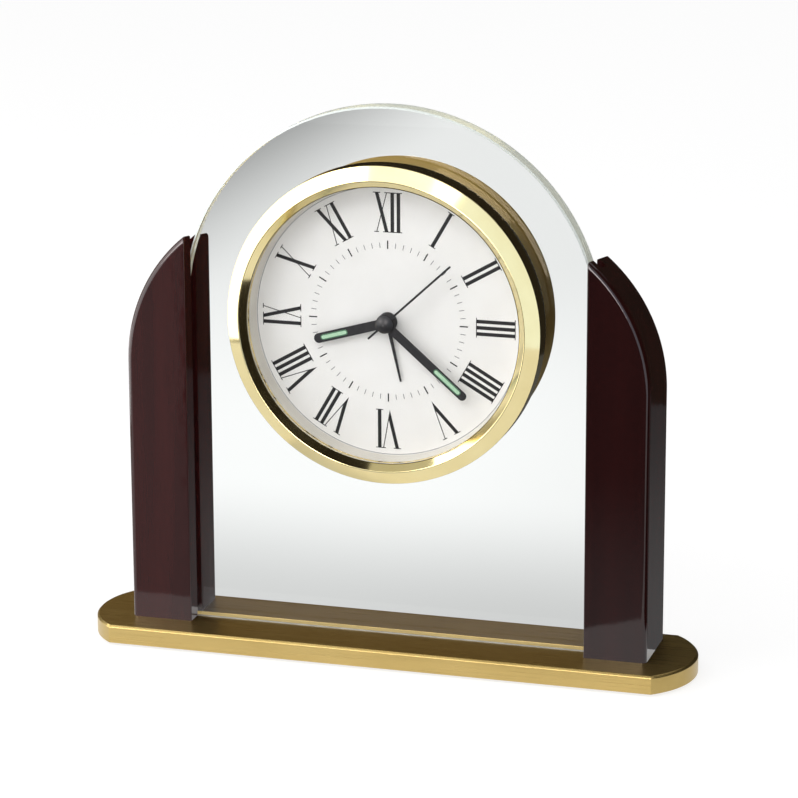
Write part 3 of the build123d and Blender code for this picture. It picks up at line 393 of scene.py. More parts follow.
def round_loop(shape, radius, depth, width, segments):
    """Round on the turned edge that lies at a radius and a depth."""
    near = 2e-6

    def on_loop(vert):
        reach = math.hypot(vert.co.x, vert.co.z - axis_z)
        return abs(reach - radius) < near and abs(vert.co.y - depth) < near

    loop = [edge for edge in shape.edges if on_loop(edge.verts[0]) and on_loop(edge.verts[1])]
    round_edges(shape, loop, width, segments)


def along(tree, axis):
    """Place along X, Y or Z in the piece's own space."""
    place = tree.nodes.new("ShaderNodeTexCoord")
    parts = tree.nodes.new("ShaderNodeSeparateXYZ")
    tree.links.new(place.outputs["Object"], parts.inputs["Vector"])
    return parts.outputs[axis]


def around_axis(tree, size):
    """Noise that runs round the axis of the insert, with a grain size across it in mm."""
    aside = along(tree, "X")
    lift = worked_out(tree, "SUBTRACT", along(tree, "Z"), axis_z)
    lift_squared = worked_out(tree, "MULTIPLY", lift, lift)
    radius = worked_out(tree, "SQRT", worked_out(tree, "MULTIPLY_ADD", aside, aside, lift_squared))
    joined = tree.nodes.new("ShaderNodeCombineXYZ")
    scaled = tree.nodes.new("ShaderNodeVectorMath")
    noise = tree.nodes.new("ShaderNodeTexNoise")
    scaled.operation = "SCALE"
    scaled.inputs["Scale"].default_value = 1 / (size * mm)
    noise.inputs["Scale"].default_value = 1.0
    tree.links.new(radius, joined.inputs["X"])
    tree.links.new(along(tree, "Y"), joined.inputs["Y"])
    tree.links.new(joined.outputs["Vector"], scaled.inputs[0])
    tree.links.new(scaled.outputs["Vector"], noise.inputs["Vector"])
    return noise.outputs["Fac"]


turned_brass, tree, shader = new_finish("turned_brass", drum_light, roughness=0.28, metallic=1.0)
turning_marks = around_axis(tree, 0.15)
mottle(tree, shader, specks(tree, 20, detail=4.0), drum_light, drum_dark)
vary_roughness(tree, shader, turning_marks, 0.34, 0.5)
relief(tree, shader, turning_marks, 0.003)

drum = turned([
    (drum_radius - drum_wall, drum_front_y),
    (drum_radius, drum_front_y),
    (drum_radius, drum_rear_y),
    (drum_radius - drum_wall, drum_rear_y),
    (drum_radius - drum_wall, cover_seat_y),
    (drum_radius - drum_wall - drum_shoulder, cover_seat_y),
    (drum_radius - drum_wall - drum_shoulder, cover_seat_y - drum_wall),
    (drum_radius - drum_wall, cover_seat_y - drum_wall),
])
round_loop(drum, drum_radius, drum_rear_y, drum_rear_round, segments=5)
round_loop(drum, drum_radius - drum_wall, drum_rear_y, drum_inner_round, segments=3)
make_piece("brass_drum", drum, [turned_brass], stand, "satin_brass", "drum_case")

# Insert ring: a soft black rubber ring that holds the drum in the hole of the glass by friction.
# It is moulded, with a matt skin.
ring_round = 0.15 * mm
drum_fit = 0.05 * mm
rubber_dark = (0.012, 0.012, 0.012)
rubber_bloom = (0.03, 0.03, 0.03)
rubber, tree, shader = new_finish("moulded_rubber", rubber_dark, roughness=0.7)
mottle(tree, shader, specks(tree, 4, detail=5.0), rubber_dark, rubber_bloom)
relief(tree, shader, specks(tree, 0.3), 0.02)

ring_low, ring_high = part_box("insert_ring")
ring = turned([
    (drum_radius + drum_fit, ring_low.y),
    (ring_high.x, ring_low.y),
    (ring_high.x, ring_high.y),
    (drum_radius + drum_fit, ring_high.y),
])
for ring_edge_y in (ring_low.y, ring_high.y):
    round_loop(ring, ring_high.x, ring_edge_y, ring_round, segments=3)
make_piece("rubber_ring", ring, [rubber], stand, "insert_rubber", "insert_ring")

# Movement housing: the front housing, and the bridge on its pillars that closes the train at the rear.
# Both are moulded in black plastic with a fine spark texture, and stand inside the drum.
housing_dark = (0.03, 0.03, 0.032)
housing_grey = (0.045, 0.045, 0.047)


def moulded(name, first, second, roughness, texture=0.35, depth=0.04):
    """Moulded plastic with a slightly uneven tone and a spark texture, its size and depth in mm."""
    finish, tree, shader = new_finish(name, first, roughness)
    mottle(tree, shader, specks(tree, 6, detail=5.0), first, second)
    spark = specks(tree, texture)
    vary_roughness(tree, shader, spark, roughness * 0.85, roughness * 1.15)
    relief(tree, shader, spark, depth)
    return finish


housing_plastic = moulded("housing_plastic", housing_dark, housing_grey, roughness=0.45)
dress(housing_plastic, "movement_case", "movement_bridge")

# Stepping motor and arbors: the steel stator, the rotor and the arbor of the second hand.
# The pipe of the minute hand is brass and turns on that arbor.
steel_light = (0.60, 0.60, 0.60)
steel_dark = (0.48, 0.48, 0.49)
steel = plated("arbor_steel", steel_light, steel_dark, roughness=0.25, patch=1.5)
dress(steel, "second_arbor", "rotor", "stator")
pipe_brass = plated("pipe_brass", brass_light, brass_dark, roughness=0.25, patch=1.5)
dress(pipe_brass, "minute_pipe")

# Wheels and pinions: the train, the motion work, the alarm wheel and the two setting pinions.
# They are moulded in white nylon and run between the housing and the bridge.
nylon_white = (0.78, 0.77, 0.72)
nylon_cream = (0.70, 0.69, 0.63)
nylon = moulded("white_nylon", nylon_white, nylon_cream, roughness=0.4, texture=0.4, depth=0.01)
dress(nylon, "third_wheel", "centre_wheel", "step_wheel", "motion_wheel", "hour_wheel", "alarm_wheel")
dress(nylon, "time_set_pinion", "alarm_set_pinion")

# Coil: enamelled copper wire wound on a nylon bobbin.
# It sits on the core bar of the stator.
copper_light = (0.72, 0.30, 0.14)
copper_dark = (0.58, 0.22, 0.10)
copper = plated("copper_wire", copper_light, copper_dark, roughness=0.3, patch=0.6)
dress(copper, "coil_winding")
dress(nylon, "coil_bobbin")

# Circuit board: a small board with a green solder mask, which drives the coil and the buzzer.
# It stands on two posts of the housing.
mask_dark = (0.02, 0.12, 0.05)
mask_light = (0.03, 0.16, 0.07)
board_mask = moulded("board_mask", mask_dark, mask_light, roughness=0.35)
dress(board_mask, "circuit_board")

# Contacts and buzzer: two springs of nickel plated strip that hold the cell between them,
# and the plated can of the buzzer, which lies under the sound holes of the cover.
nickel_light = (0.66, 0.65, 0.62)
nickel_dark = (0.52, 0.51, 0.49)
contact_spring = plated("contact_spring", nickel_light, nickel_dark, roughness=0.22, patch=2.0)
dress(contact_spring, "battery_contacts", "buzzer")

# Cell: one AA cell in a plain black wrap with a copper coloured band at one end.
# It lies between its contacts under the battery door.
wrap_black = (0.03, 0.03, 0.033)
wrap_copper = (0.62, 0.33, 0.14)
band_share = 0.28
band_blur = 0.05 * mm
cell_low, cell_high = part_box("battery")
band_x = cell_high.x - band_share * (cell_high.x - cell_low.x)
cell_wrap, tree, shader = new_finish("cell_wrap", wrap_black, roughness=0.25)
in_band = spread(tree, along(tree, "X"), 0.0, 1.0, band_x - band_blur, band_x + band_blur)
tint(tree, shader, in_band, wrap_black, wrap_copper)
tree.links.new(in_band, shader.inputs["Metallic"])
relief(tree, shader, specks(tree, 2), 0.004)
dress(cell_wrap, "battery")

# Dial: a pressed card disc, painted warm white and printed in black.
# It lies on the front of the movement, and the bush of the hands comes through its middle.
dial_low, dial_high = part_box("dial")
dial_front_y = dial_low.y
dial_hole = 2.75 * mm
dial_white = (0.86, 0.855, 0.845)
dial_shade = (0.82, 0.815, 0.80)
painted_card, tree, shader = new_finish("painted_card", dial_white, roughness=0.55)
mottle(tree, shader, specks(tree, 6, detail=6.0), dial_white, dial_shade)
relief(tree, shader, specks(tree, 0.2), 0.004)

dial_disc = turned([
    (dial_hole, dial_front_y),
    (dial_high.x, dial_front_y),
    (dial_high.x, dial_high.y),
    (dial_hole, dial_high.y),
])
make_piece("printed_dial", dial_disc, [painted_card], stand, "dial_white", "dial")

# Numerals: Roman hours printed radially, with their feet to the axis.
# They have thick strokes, hairlines and hairline serifs, drawn here in mm.
# The ink stands on the card in thin layers, the thick strokes highest.
numeral_foot = 25.5
numeral_top = 36.85
stem_width = 1.02
stem_pitch = 1.78
hairline = 0.24
serif_reach = 0.55
cross_half = 1.47
vee_left = 2.2
vee_right = 1.9
vee_step = 1.1
cross_step = 1.6
stem_ink = 0.04
hairline_ink = 0.03
serif_ink = 0.02
ink_black = (0.005, 0.005, 0.006)
ink_worn = (0.011, 0.011, 0.012)
printing_ink, tree, shader = new_finish("printing_ink", ink_black, roughness=0.5)
shader.inputs["Specular IOR Level"].default_value = 0.2
mottle(tree, shader, specks(tree, 0.4), ink_black, ink_worn)
relief(tree, shader, specks(tree, 0.15), 0.004)


def ink(shape, corners, turn, thickness):
    """One printed stroke, from corners across and out from the axis in mm, turned to its hour."""
    to_hour = Matrix.Translation((0, dial_front_y, axis_z)) @ Matrix.Rotation(turn, 4, "Y")
    verts = [shape.verts.new(to_hour @ Vector((across * mm, 0, out * mm))) for across, out in corners]
    draw_out(shape, [shape.faces.new(verts)], (0, -thickness * mm, 0))


def bar(foot, top, width):
    """Stroke between two places, cut level at both ends, as corners."""
    half = width / 2
    return [
        (foot - half, numeral_foot),
        (foot + half, numeral_foot),
        (top + half, numeral_top),
        (top - half, numeral_top),
    ]


def serif(middle, out, width):
    """Hairline serif across the end of a stroke, as corners."""
    half = width / 2 + serif_reach
    inner = out - hairline if out > numeral_foot else out
    outer = inner + hairline
    return [(middle - half, inner), (middle + half, inner), (middle + half, outer), (middle - half, outer)]


def letter_step(pair):
    """Gap from one letter to the next."""
    if pair == "II":
        return stem_pitch
    return vee_step if "V" in pair else cross_step


def draw_hour(shape, letters, turn):
    """One hour, centred on its place: I is a stem, V and X have a thick and a hairline stroke."""
    widths = {"I": 0.0, "V": vee_left + vee_right, "X": 2 * cross_half}
    steps = [0.0] + [letter_step(first + second) for first, second in zip(letters, letters[1:])]
    place = -(sum(steps) + sum(widths[letter] for letter in letters)) / 2
    half, thin = stem_width / 2, hairline / 2
    for letter, step in zip(letters, steps):
        place += step
        if letter == "I":
            ink(shape, bar(place, place, stem_width), turn, stem_ink)
            for out in (numeral_foot, numeral_top):
                ink(shape, serif(place, out, stem_width), turn, serif_ink)
        elif letter == "X":
            left, right = place, place + 2 * cross_half
            ink(shape, bar(right, left, stem_width), turn, stem_ink)
            ink(shape, bar(left, right, hairline), turn, hairline_ink)
            for middle, out, width in (
                (left, numeral_top, stem_width),
                (right, numeral_foot, stem_width),
                (right, numeral_top, hairline),
                (left, numeral_foot, hairline),
            ):
                ink(shape, serif(middle, out, width), turn, serif_ink)
        else:
            left, point, right = place, place + vee_left, place + vee_left + vee_right
            crotch = (stem_width + hairline) / (vee_left + vee_right + half + thin)
            fork = (
                point + (right + thin - point) * crotch - hairline,
                numeral_foot + (numeral_top - numeral_foot) * crotch,
            )
            ink(shape, [
                (left - half, numeral_top),
                (point, numeral_foot),
                (right + thin, numeral_top),
                (right - thin, numeral_top),
                fork,
                (left + half, numeral_top),
            ], turn, stem_ink)
            ink(shape, serif(left, numeral_top, stem_width), turn, serif_ink)
            ink(shape, serif(right, numeral_top, hairline), turn, serif_ink)
        place += widths[letter]


hours = ("XII", "I", "II", "III", "IIII", "V", "VI", "VII", "VIII", "IX", "X", "XI")
numerals = bmesh.new()
for number, letters in enumerate(hours):
    draw_hour(numerals, letters, math.tau * number / len(hours))
bmesh.ops.recalc_face_normals(numerals, faces=numerals.faces)
make_piece("hour_numerals", numerals, [printing_ink], stand, "dial_white")

# Minute track: sixty printed ticks inside the numerals, bold and longer at the hours, grey between them.
# A hairline circle is printed close to the edge of the dial.
# A tick is given by its width, its inner and outer radius and its ink, in mm.
minutes = range(60)
hour_tick = (0.36, 20.8, 23.2, 0.03)
minute_tick = (0.18, 21.1, 22.6, 0.02)
circle_inner = 38.45 * mm
circle_outer = 38.6 * mm
circle_front_y = dial_front_y - 0.02 * mm
track_dark = srgb(80, 80, 84)
track_pale = srgb(108, 108, 110)
track_grey, tree, shader = new_finish("grey_ink", track_dark, roughness=0.5)
mottle(tree, shader, specks(tree, 0.5), track_dark, track_pale)
relief(tree, shader, specks(tree, 0.15), 0.004)


def draw_ticks(numbers, tick):
    """Ticks of one kind, at some minutes."""
    width, inner, outer, thickness = tick
    shape = bmesh.new()
    for number in numbers:
        corners = [(-width / 2, inner), (width / 2, inner), (width / 2, outer), (-width / 2, outer)]
        ink(shape, corners, math.tau * number / len(minutes), thickness)
    bmesh.ops.recalc_face_normals(shape, faces=shape.faces)
    return shape


make_piece("hour_ticks", draw_ticks(minutes[::5], hour_tick), [printing_ink], stand, "dial_white")
between = [number for number in minutes if number % 5]
make_piece("minute_ticks", draw_ticks(between, minute_tick), [track_grey], stand, "dial_white")
circle = turned([
    (circle_inner, circle_front_y),
    (circle_outer, circle_front_y),
    (circle_outer, dial_front_y),
    (circle_inner, dial_front_y),
])
make_piece("edge_circle", circle, [track_grey], stand, "dial_white")

# Dial ring: a moulded beige ring that keeps the lens off the dial and hides the edge of the card.
# It is painted, with a soft sheen and a gilt band at its front edge.
spacer_low, spacer_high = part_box("dial_ring")
spacer_front_radius = 39.48 * mm
spacer_rear_radius = 38.78 * mm
spacer_round = 0.12 * mm
spacer_wall = 1.0 * mm
gilt_share = 0.14
gilt_radius = spacer_front_radius + gilt_share * (spacer_rear_radius - spacer_front_radius)
gilt_y = spacer_low.y + gilt_share * (spacer_high.y - spacer_low.y)
beige_light = (0.73, 0.70, 0.64)
beige_dark = (0.67, 0.64, 0.575)
gilt_light = (0.72, 0.58, 0.28)
gilt_dark = (0.64, 0.50, 0.22)
beige, tree, shader = new_finish("beige_paint", beige_light, roughness=0.38)
mottle(tree, shader, around_axis(tree, 0.6), beige_light, beige_dark)
relief(tree, shader, specks(tree, 0.4), 0.006)
gilt = plated("gilt_line", gilt_light, gilt_dark, roughness=0.22, patch=2.0)

spacer = turned([
    (spacer_front_radius, spacer_low.y),
    (spacer_high.x, spacer_low.y),
    (spacer_high.x, spacer_high.y),
    (spacer_rear_radius, spacer_high.y),
    (gilt_radius, gilt_y),
])
for face in spacer.faces:
    middle = face.calc_center_median()
    on_inside = math.hypot(middle.x, middle.z - axis_z) < spacer_high.x - spacer_wall
    face.material_index = 1 if on_inside and spacer_low.y < middle.y < gilt_y else 0
round_loop(spacer, spacer_front_radius, spacer_low.y, spacer_round, segments=3)
make_piece("dial_spacer", spacer, [beige, gilt], stand, "ring_beige", "dial_ring")

# Hands: stamped steel, lacquered black, pressed on concentric pipes.
# The hour and minute hands have a pocket filled with pale green lume, which dries darker at its rim.
# The second hand carries a domed cap.
hand_edge_round = 0.04 * mm
lume_rim_width = 0.3 * mm
lume_rise = 0.03 * mm
hand_black = (0.010, 0.010, 0.012)
hand_grey = (0.018, 0.018, 0.021)
lume_pale = srgb(178, 214, 182)
lume_deep = srgb(150, 196, 160)
rim_green = srgb(38, 92, 60)
rim_pale = srgb(52, 112, 76)
black_lacquer, tree, shader = new_finish("black_lacquer", hand_black, roughness=0.36)
shader.inputs["Specular IOR Level"].default_value = 0.3
mottle(tree, shader, specks(tree, 1.2, detail=4.0), hand_black, hand_grey)
relief(tree, shader, specks(tree, 0.2), 0.005)
lume, tree, shader = new_finish("lume_paint", lume_pale, roughness=0.6)
mottle(tree, shader, specks(tree, 0.9, detail=5.0), lume_pale, lume_deep)
relief(tree, shader, specks(tree, 0.12), 0.01)
lume_margin, tree, shader = new_finish("lume_margin", rim_green, roughness=0.5)
mottle(tree, shader, specks(tree, 0.6, detail=4.0), rim_green, rim_pale)
relief(tree, shader, specks(tree, 0.12), 0.01)

lume_hands = ("hour", "minute")
for hand in (*lume_hands, "alarm", "second"):
    hand_body = f"{hand}_hand_body"
    blade = cad_copy(f"{hand}_hand")
    if hand in lume_hands:
        soften(blade, hand_edge_round)
    make_piece(f"{hand}_blade", blade, [black_lacquer], hand_body, "hand_black", f"{hand}_hand")
    if hand in lume_hands:
        strip = cad_copy(f"{hand}_lume")
        front = min(strip.faces, key=lambda face: face.calc_center_median().y)
        inset = bmesh.ops.inset_region(strip, faces=[front], thickness=lume_rim_width, depth=lume_rise)
        for face in inset["faces"]:
            face.material_index = 1
        make_piece(
            f"{hand}_lume_strip", strip, [lume, lume_margin], hand_body, "lume_green", f"{hand}_lume",
        )

# Lens: a flat disc of clear mineral glass, held between the lip of the bezel and the dial ring.
# It is polished on both faces, with a small ground edge.
lens_low, lens_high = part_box("lens")
lens_round = 0.15 * mm
lens_tone = (0.985, 0.99, 0.985)
lens_glass, tree, shader = new_finish("lens_glass", lens_tone, roughness=0.0)
shader.inputs["Transmission Weight"].default_value = 1.0
shader.inputs["IOR"].default_value = 1.5
vary_roughness(tree, shader, specks(tree, 12, detail=5.0), 0.0, 0.01, 0.5, 0.8)

lens_disc = turned([
    (0.0, lens_low.y),
    (lens_high.x, lens_low.y),
    (lens_high.x, lens_high.y),
    (0.0, lens_high.y),
])
for lens_edge_y in (lens_low.y, lens_high.y):
    round_loop(lens_disc, lens_high.x, lens_edge_y, lens_round, segments=2)
lens = make_piece("clear_lens", lens_disc, [lens_glass], stand, "lens_glass", "lens")
let_light_through(lens)

# Bezel: spun brass, polished bright and lacquered, pressed over the front of the drum.
# It has a straight side, a plain outer slope, a rounded ridge and an inner slope down to the lens.
bezel_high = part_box("bezel")[1]
bezel_radius = bezel_high.x
bezel_bore = drum_radius + drum_fit
ridge_radius = 41.5 * mm
ridge_y = -11.45 * mm
lip_radius = 39.68 * mm
inner_radius = 39.48 * mm
rim_y = -9.0 * mm
lip_y = -9.5 * mm
lens_room = 0.1 * mm
bezel_rear_round = 0.2 * mm
rim_round = 0.12 * mm
ridge_round = 0.22 * mm
bezel_light = (0.77, 0.665, 0.36)
bezel_warm = (0.72, 0.61, 0.31)
bright_brass, tree, shader = new_finish("bright_brass", bezel_light, roughness=0.1, metallic=1.0)
smears = specks(tree, 12, detail=5.0)
mottle(tree, shader, smears, bezel_light, bezel_warm)
vary_roughness(tree, shader, smears, 0.07, 0.14)
relief(tree, shader, around_axis(tree, 0.5), 0.001)

rim = turned([
    (bezel_bore, bezel_high.y),
    (bezel_radius, bezel_high.y),
    (bezel_radius, rim_y),
    (ridge_radius, ridge_y),
    (lip_radius, lip_y),
    (inner_radius, lip_y),
    (inner_radius, lens_low.y),
    (lens_high.x + lens_room, lens_low.y),
    (lens_high.x + lens_room, lens_high.y),
    (bezel_bore, lens_high.y),
])
round_loop(rim, bezel_radius, bezel_high.y, bezel_rear_round, segments=3)
round_loop(rim, bezel_radius, rim_y, rim_round, segments=4)
round_loop(rim, ridge_radius, ridge_y, ridge_round, segments=5)
make_piece("polished_bezel", rim, [bright_brass], stand, "polished_brass", "bezel")

# Rear cover: a black moulded plate with a fine spark texture, screwed to the movement from behind.
# It has the battery opening, the knob holes, the switch slot and the sound holes.
cover_edge_round = 0.12 * mm
plastic_dark = (0.022, 0.022, 0.023)
plastic_grey = (0.032, 0.032, 0.034)
black_plastic = moulded("black_plastic", plastic_dark, plastic_grey, roughness=0.5)
cover = cad_copy("rear_cover")
soften(cover, cover_edge_round)
make_piece("moulded_cover", cover, [black_plastic], stand, "black_plastic", "rear_cover")

# Cover screws: three small countersunk steel screws with a cross recess, zinc plated.
# They go through the cover into the bosses of the movement.
cross_arm = 0.95 * mm
cross_width = 0.42 * mm
cross_depth = 0.55 * mm
head_margin = 0.1 * mm
cover_rear_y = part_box("rear_cover")[1].y
across = Vector((1, 0, 0))
upward = Vector((0, 0, 1))


def head_faces(shape):
    """Flat faces of the screw heads, which lie in the rear face of the cover."""
    facing_back = [face for face in shape.faces if face.normal.y > 0.99]
    return [face for face in facing_back if face.calc_center_median().y > cover_rear_y - head_margin]


screws = cad_copy("cover_screws")
screws.normal_update()
head_places = [face.calc_center_median() for face in head_faces(screws)]
for place in head_places:
    for line in (across, upward):
        for offset in (-cross_arm, -cross_width / 2, cross_width / 2, cross_arm):
            flat = head_faces(screws)
            edges = {edge for face in flat for edge in face.edges}
            verts = {vert for face in flat for vert in face.verts}
            bmesh.ops.bisect_plane(
                screws, geom=flat + list(edges) + list(verts), dist=1e-7,
                plane_co=place + line * offset, plane_no=line,
            )
            screws.normal_update()


def in_cross(face):
    """Whether a face of a head lies in the cross of its screw."""
    middle = face.calc_center_median()
    place = min(head_places, key=lambda spot: (spot - middle).length)
    near, far = sorted((abs(middle.x - place.x), abs(middle.z - place.z)))
    return near < cross_width / 2 and far < cross_arm


recess = [face for face in head_faces(screws) if in_cross(face)]
draw_out(screws, recess, (0, -cross_depth, 0))
bmesh.ops.delete(screws, geom=[face for face in recess if face.is_valid], context="FACES_ONLY")
bmesh.ops.recalc_face_normals(screws, faces=screws.faces)
make_piece("cover_screw_set", screws, [screw_zinc], stand, "screw_steel", "cover_screws")

# Battery door: a plain lid with a finger notch, moulded in the same black plastic as the cover.
# It lies flush in the cover and snaps off straight to the rear.
door_edge_round = 0.1 * mm
door = cad_copy("battery_door")
soften(door, door_edge_round)
make_piece("moulded_door", door, [black_plastic], "battery_door_body", "black_plastic", "battery_door")

# Knobs: two fluted grey knobs, one for the time and one for the alarm, moulded with a soft gloss.
# They are pressed on the setting shafts and turn with their hands.
knob_edge_round = 0.15 * mm
knob_grey = (0.085, 0.085, 0.09)
knob_dark = (0.065, 0.065, 0.07)
glossy_plastic = moulded(
    "glossy_plastic", knob_dark, knob_grey, roughness=0.3, texture=0.5, depth=0.006,
)
for use in ("time", "alarm"):
    knob = cad_copy(f"{use}_set_knob")
    soften(knob, knob_edge_round)
    make_piece(
        f"{use}_knob", knob, [glossy_plastic], f"{use}_knob_body", "black_plastic", f"{use}_set_knob",
    )

# Alarm switch: a ribbed slide moulded in pale plastic, which turns the alarm on and off.
# A plate inside the cover holds it in its slot.
slide_edge_round = 0.08 * mm
slide_pale = (0.55, 0.53, 0.48)
slide_dark = (0.48, 0.46, 0.41)
switch_plastic = moulded(
    "switch_plastic", slide_pale, slide_dark, roughness=0.42, texture=0.5, depth=0.01,
)
slide = cad_copy("alarm_switch")
soften(slide, slide_edge_round)
make_piece("alarm_slide", slide, [switch_plastic], "alarm_switch_body", "switch_plastic", "alarm_switch")

# Surround: a white studio, which is white to the camera, in mirrors and through glass.
# The light that it sheds on the clock is weaker, so that the soft boxes shape the forms.
surround_light = 0.56
surround_white = 1.0
world = bpy.context.scene.world or bpy.data.worlds.new("studio")
bpy.context.scene.world = world
world.use_nodes = True
tree = world.node_tree
tree.nodes.clear()


def seen_directly(tree):
    """1 for rays from the camera, a mirror or glass, and 0 for light that falls on the object."""
    path = tree.nodes.new("ShaderNodeLightPath")
    seen = worked_out(tree, "MAXIMUM", path.outputs["Is Camera Ray"], path.outputs["Is Glossy Ray"])
    return worked_out(tree, "MAXIMUM", seen, path.outputs["Is Transmission Ray"])


def light_or_look(tree, light, look, output):
    """Stage surface that lights the object with one shader and is seen with another."""
    choice = tree.nodes.new("ShaderNodeMixShader")
    tree.links.new(seen_directly(tree), choice.inputs["Fac"])
    tree.links.new(light, choice.inputs[1])
    tree.links.new(look, choice.inputs[2])
    tree.links.new(choice.outputs["Shader"], tree.nodes.new(output).inputs["Surface"])


def white_surround(tree, strength):
    """White light from all round."""
    background = tree.nodes.new("ShaderNodeBackground")
    background.inputs["Color"].default_value = (1, 1, 1, 1)
    background.inputs["Strength"].default_value = strength
    return background.outputs["Background"]


shed = white_surround(tree, surround_light)
seen = white_surround(tree, surround_white)
light_or_look(tree, shed, seen, "ShaderNodeOutputWorld")

# Floor: a wide sheet of white paper that the clock stands on.
# Where it is seen it glows, so that it runs into the white surround and still keeps the shadow.
floor_half = 8.0
floor_white = (0.8, 0.8, 0.8, 1)
floor_shade = (0.3, 0.3, 0.3, 1)
floor_glow = 0.78


def stage_material(name):
    """New stage material with an empty tree."""
    material = bpy.data.materials.new(name)
    material.use_nodes = True
    material.node_tree.nodes.clear()
    return material, material.node_tree


def stage_card(name, corners, material):
    """Flat stage piece from its corners."""
    shape = bmesh.new()
    shape.faces.new([shape.verts.new(corner) for corner in corners])
    card = to_object(name, shape, [material])
    return card


def lying(x_ends, y_ends, height):
    """Corners of a level card."""
    left, right = x_ends
    near, far = y_ends
    return [(left, near, height), (right, near, height), (right, far, height), (left, far, height)]


floor_paint, tree = stage_material("white_floor")
matt = tree.nodes.new("ShaderNodeBsdfDiffuse")
matt.inputs["Color"].default_value = floor_white
shade = tree.nodes.new("ShaderNodeBsdfDiffuse")
shade.inputs["Color"].default_value = floor_shade
lit = tree.nodes.new("ShaderNodeEmission")
lit.inputs["Strength"].default_value = floor_glow
paper = tree.nodes.new("ShaderNodeAddShader")
tree.links.new(lit.outputs["Emission"], paper.inputs[0])
tree.links.new(shade.outputs["BSDF"], paper.inputs[1])
light_or_look(tree, matt.outputs["BSDF"], paper.outputs["Shader"], "ShaderNodeOutputMaterial")
stage_card("floor", lying((-floor_half, floor_half), (-floor_half, floor_half), 0.0), floor_paint)

# Mirror cards: what the bezel, the columns and the glass reflect, shown by mirrors alone.
# Dark ones stand behind and on the right and hang above. Pale walls stand on both sides and in front,
# and two bright strips give the highlights along the edges.
ceiling_z = 0.71
right_card_x = 0.6
right_wall_x = 0.26
right_outline = [(-0.26, 0.0), (0.5, 0.0), (0.5, 0.71), (-0.5, 0.71), (-0.4, 0.2)]
wall_outline = [
    (-0.165, 0.0), (-0.85, 0.0), (-0.85, 0.75), (-0.62, 0.75),
    (-0.52, 0.63), (-0.32, 0.364), (-0.225, 0.21), (-0.185, 0.109),
]
left_strip = [(-0.66, -0.43, 0.2), (-0.38, -0.76, 0.1), (-0.38, -0.76, 0.45), (-0.66, -0.43, 0.6)]


def glow(name, colour, strength=1.0):
    """Evenly glowing stage material."""
    material, tree = stage_material(name)
    light = tree.nodes.new("ShaderNodeEmission")
    light.inputs["Color"].default_value = (*colour, 1)
    light.inputs["Strength"].default_value = strength
    output = tree.nodes.new("ShaderNodeOutputMaterial")
    tree.links.new(light.outputs["Emission"], output.inputs["Surface"])
    return material


def standing(start, end, bottom, top):
    """Corners of an upright card over a line on the floor."""
    return [(*start, bottom), (*end, bottom), (*end, top), (*start, top)]


def show_only(card, in_mirrors=False, in_glass=False):
    """Card that only mirrors show, or that shows only through glass."""
    card.visible_camera = False
    card.visible_diffuse = False
    card.visible_glossy = in_mirrors
    card.visible_transmission = in_glass
    card.visible_shadow = False
    card.visible_volume_scatter = False


dark_card = glow("dark_card", (0.022, 0.018, 0.013))
grey_card = glow("grey_card", (0.66, 0.65, 0.58))
warm_card = glow("warm_card", (0.19, 0.118, 0.036))
white_wall = glow("white_wall", (1, 1, 1), strength=3.2)
cream_wall = glow("cream_wall", (0.9, 0.92, 1.0), strength=2.0)
cool_wall = glow("cool_wall", (0.77, 0.86, 1.0), strength=1.58)
strip_light = glow("strip_light", (1, 0.93, 0.92), strength=10.0)
mirror_cards = {
    "back_card": (dark_card, standing((-0.7, 0.28), (0.8, 0.28), 0.0, 0.33)),
    "low_back_card": (warm_card, standing((-0.4, 0.27), (0.0, 0.27), 0.0, 0.13)),
    "right_card": (dark_card, [(right_card_x, depth, rise) for depth, rise in right_outline]),
    "top_card": (dark_card, lying((-0.125, 0.6), (-0.4, 0.1), ceiling_z)),
    "top_grey_card": (grey_card, lying((-0.6, -0.125), (-0.4, 0.1), ceiling_z)),
    "right_wall": (cool_wall, [(right_wall_x, depth, rise) for depth, rise in wall_outline]),
    "left_wall": (white_wall, standing((-0.9, 0.05), (-0.5, -0.8), 0.0, 1.2)),
    "front_wall": (cream_wall, standing((-0.5, -0.8), (0.12, -0.95), 0.35, 1.4)),
    "left_strip": (strip_light, left_strip),
    "front_strip": (strip_light, standing((-0.15, -0.9), (0.3, -0.9), 0.08, 0.7)),
}
for name, (material, corners) in mirror_cards.items():
    show_only(stage_card(name, corners, material), in_mirrors=True)

# Floor cards: greys and whites that lie just over the floor, and that mirrors alone show.
# They give the lower half of the bezel and the feet of the columns what they reflect.
card_lift = 0.3 * mm
front_outline = [
    (-0.072, -0.045), (0.045, -0.045), (0.06, -0.06), (0.124, -0.12),
    (0.2, -0.3), (0.2, -1.2), (-0.494, -1.2),
]
left_outline = [(-0.072, -0.045), (-0.494, -1.2), (-0.62, -1.2), (-0.1, -0.045)]
corner_outline = [(0.12, 0.02), (0.12, -0.05), (0.25, -0.14), (0.6, -0.27), (0.6, 0.28), (0.3, 0.02)]


def ramp(tree, value, start, end, first, second):
    """Soft step of a value, from first to second."""
    step = spread(tree, value, first, second, start, end)
    step.node.interpolation_type = "SMOOTHSTEP"
    return step


def graded(name, start, end, first, second):
    """Glowing stage material whose grey goes from first to second between two depths."""
    material = glow(name, (1, 1, 1))
    tree = material.node_tree
    grey = ramp(tree, along(tree, "Y"), start, end, first, second)
    tree.links.new(grey, tree.nodes["Emission"].inputs["Strength"])
    return material


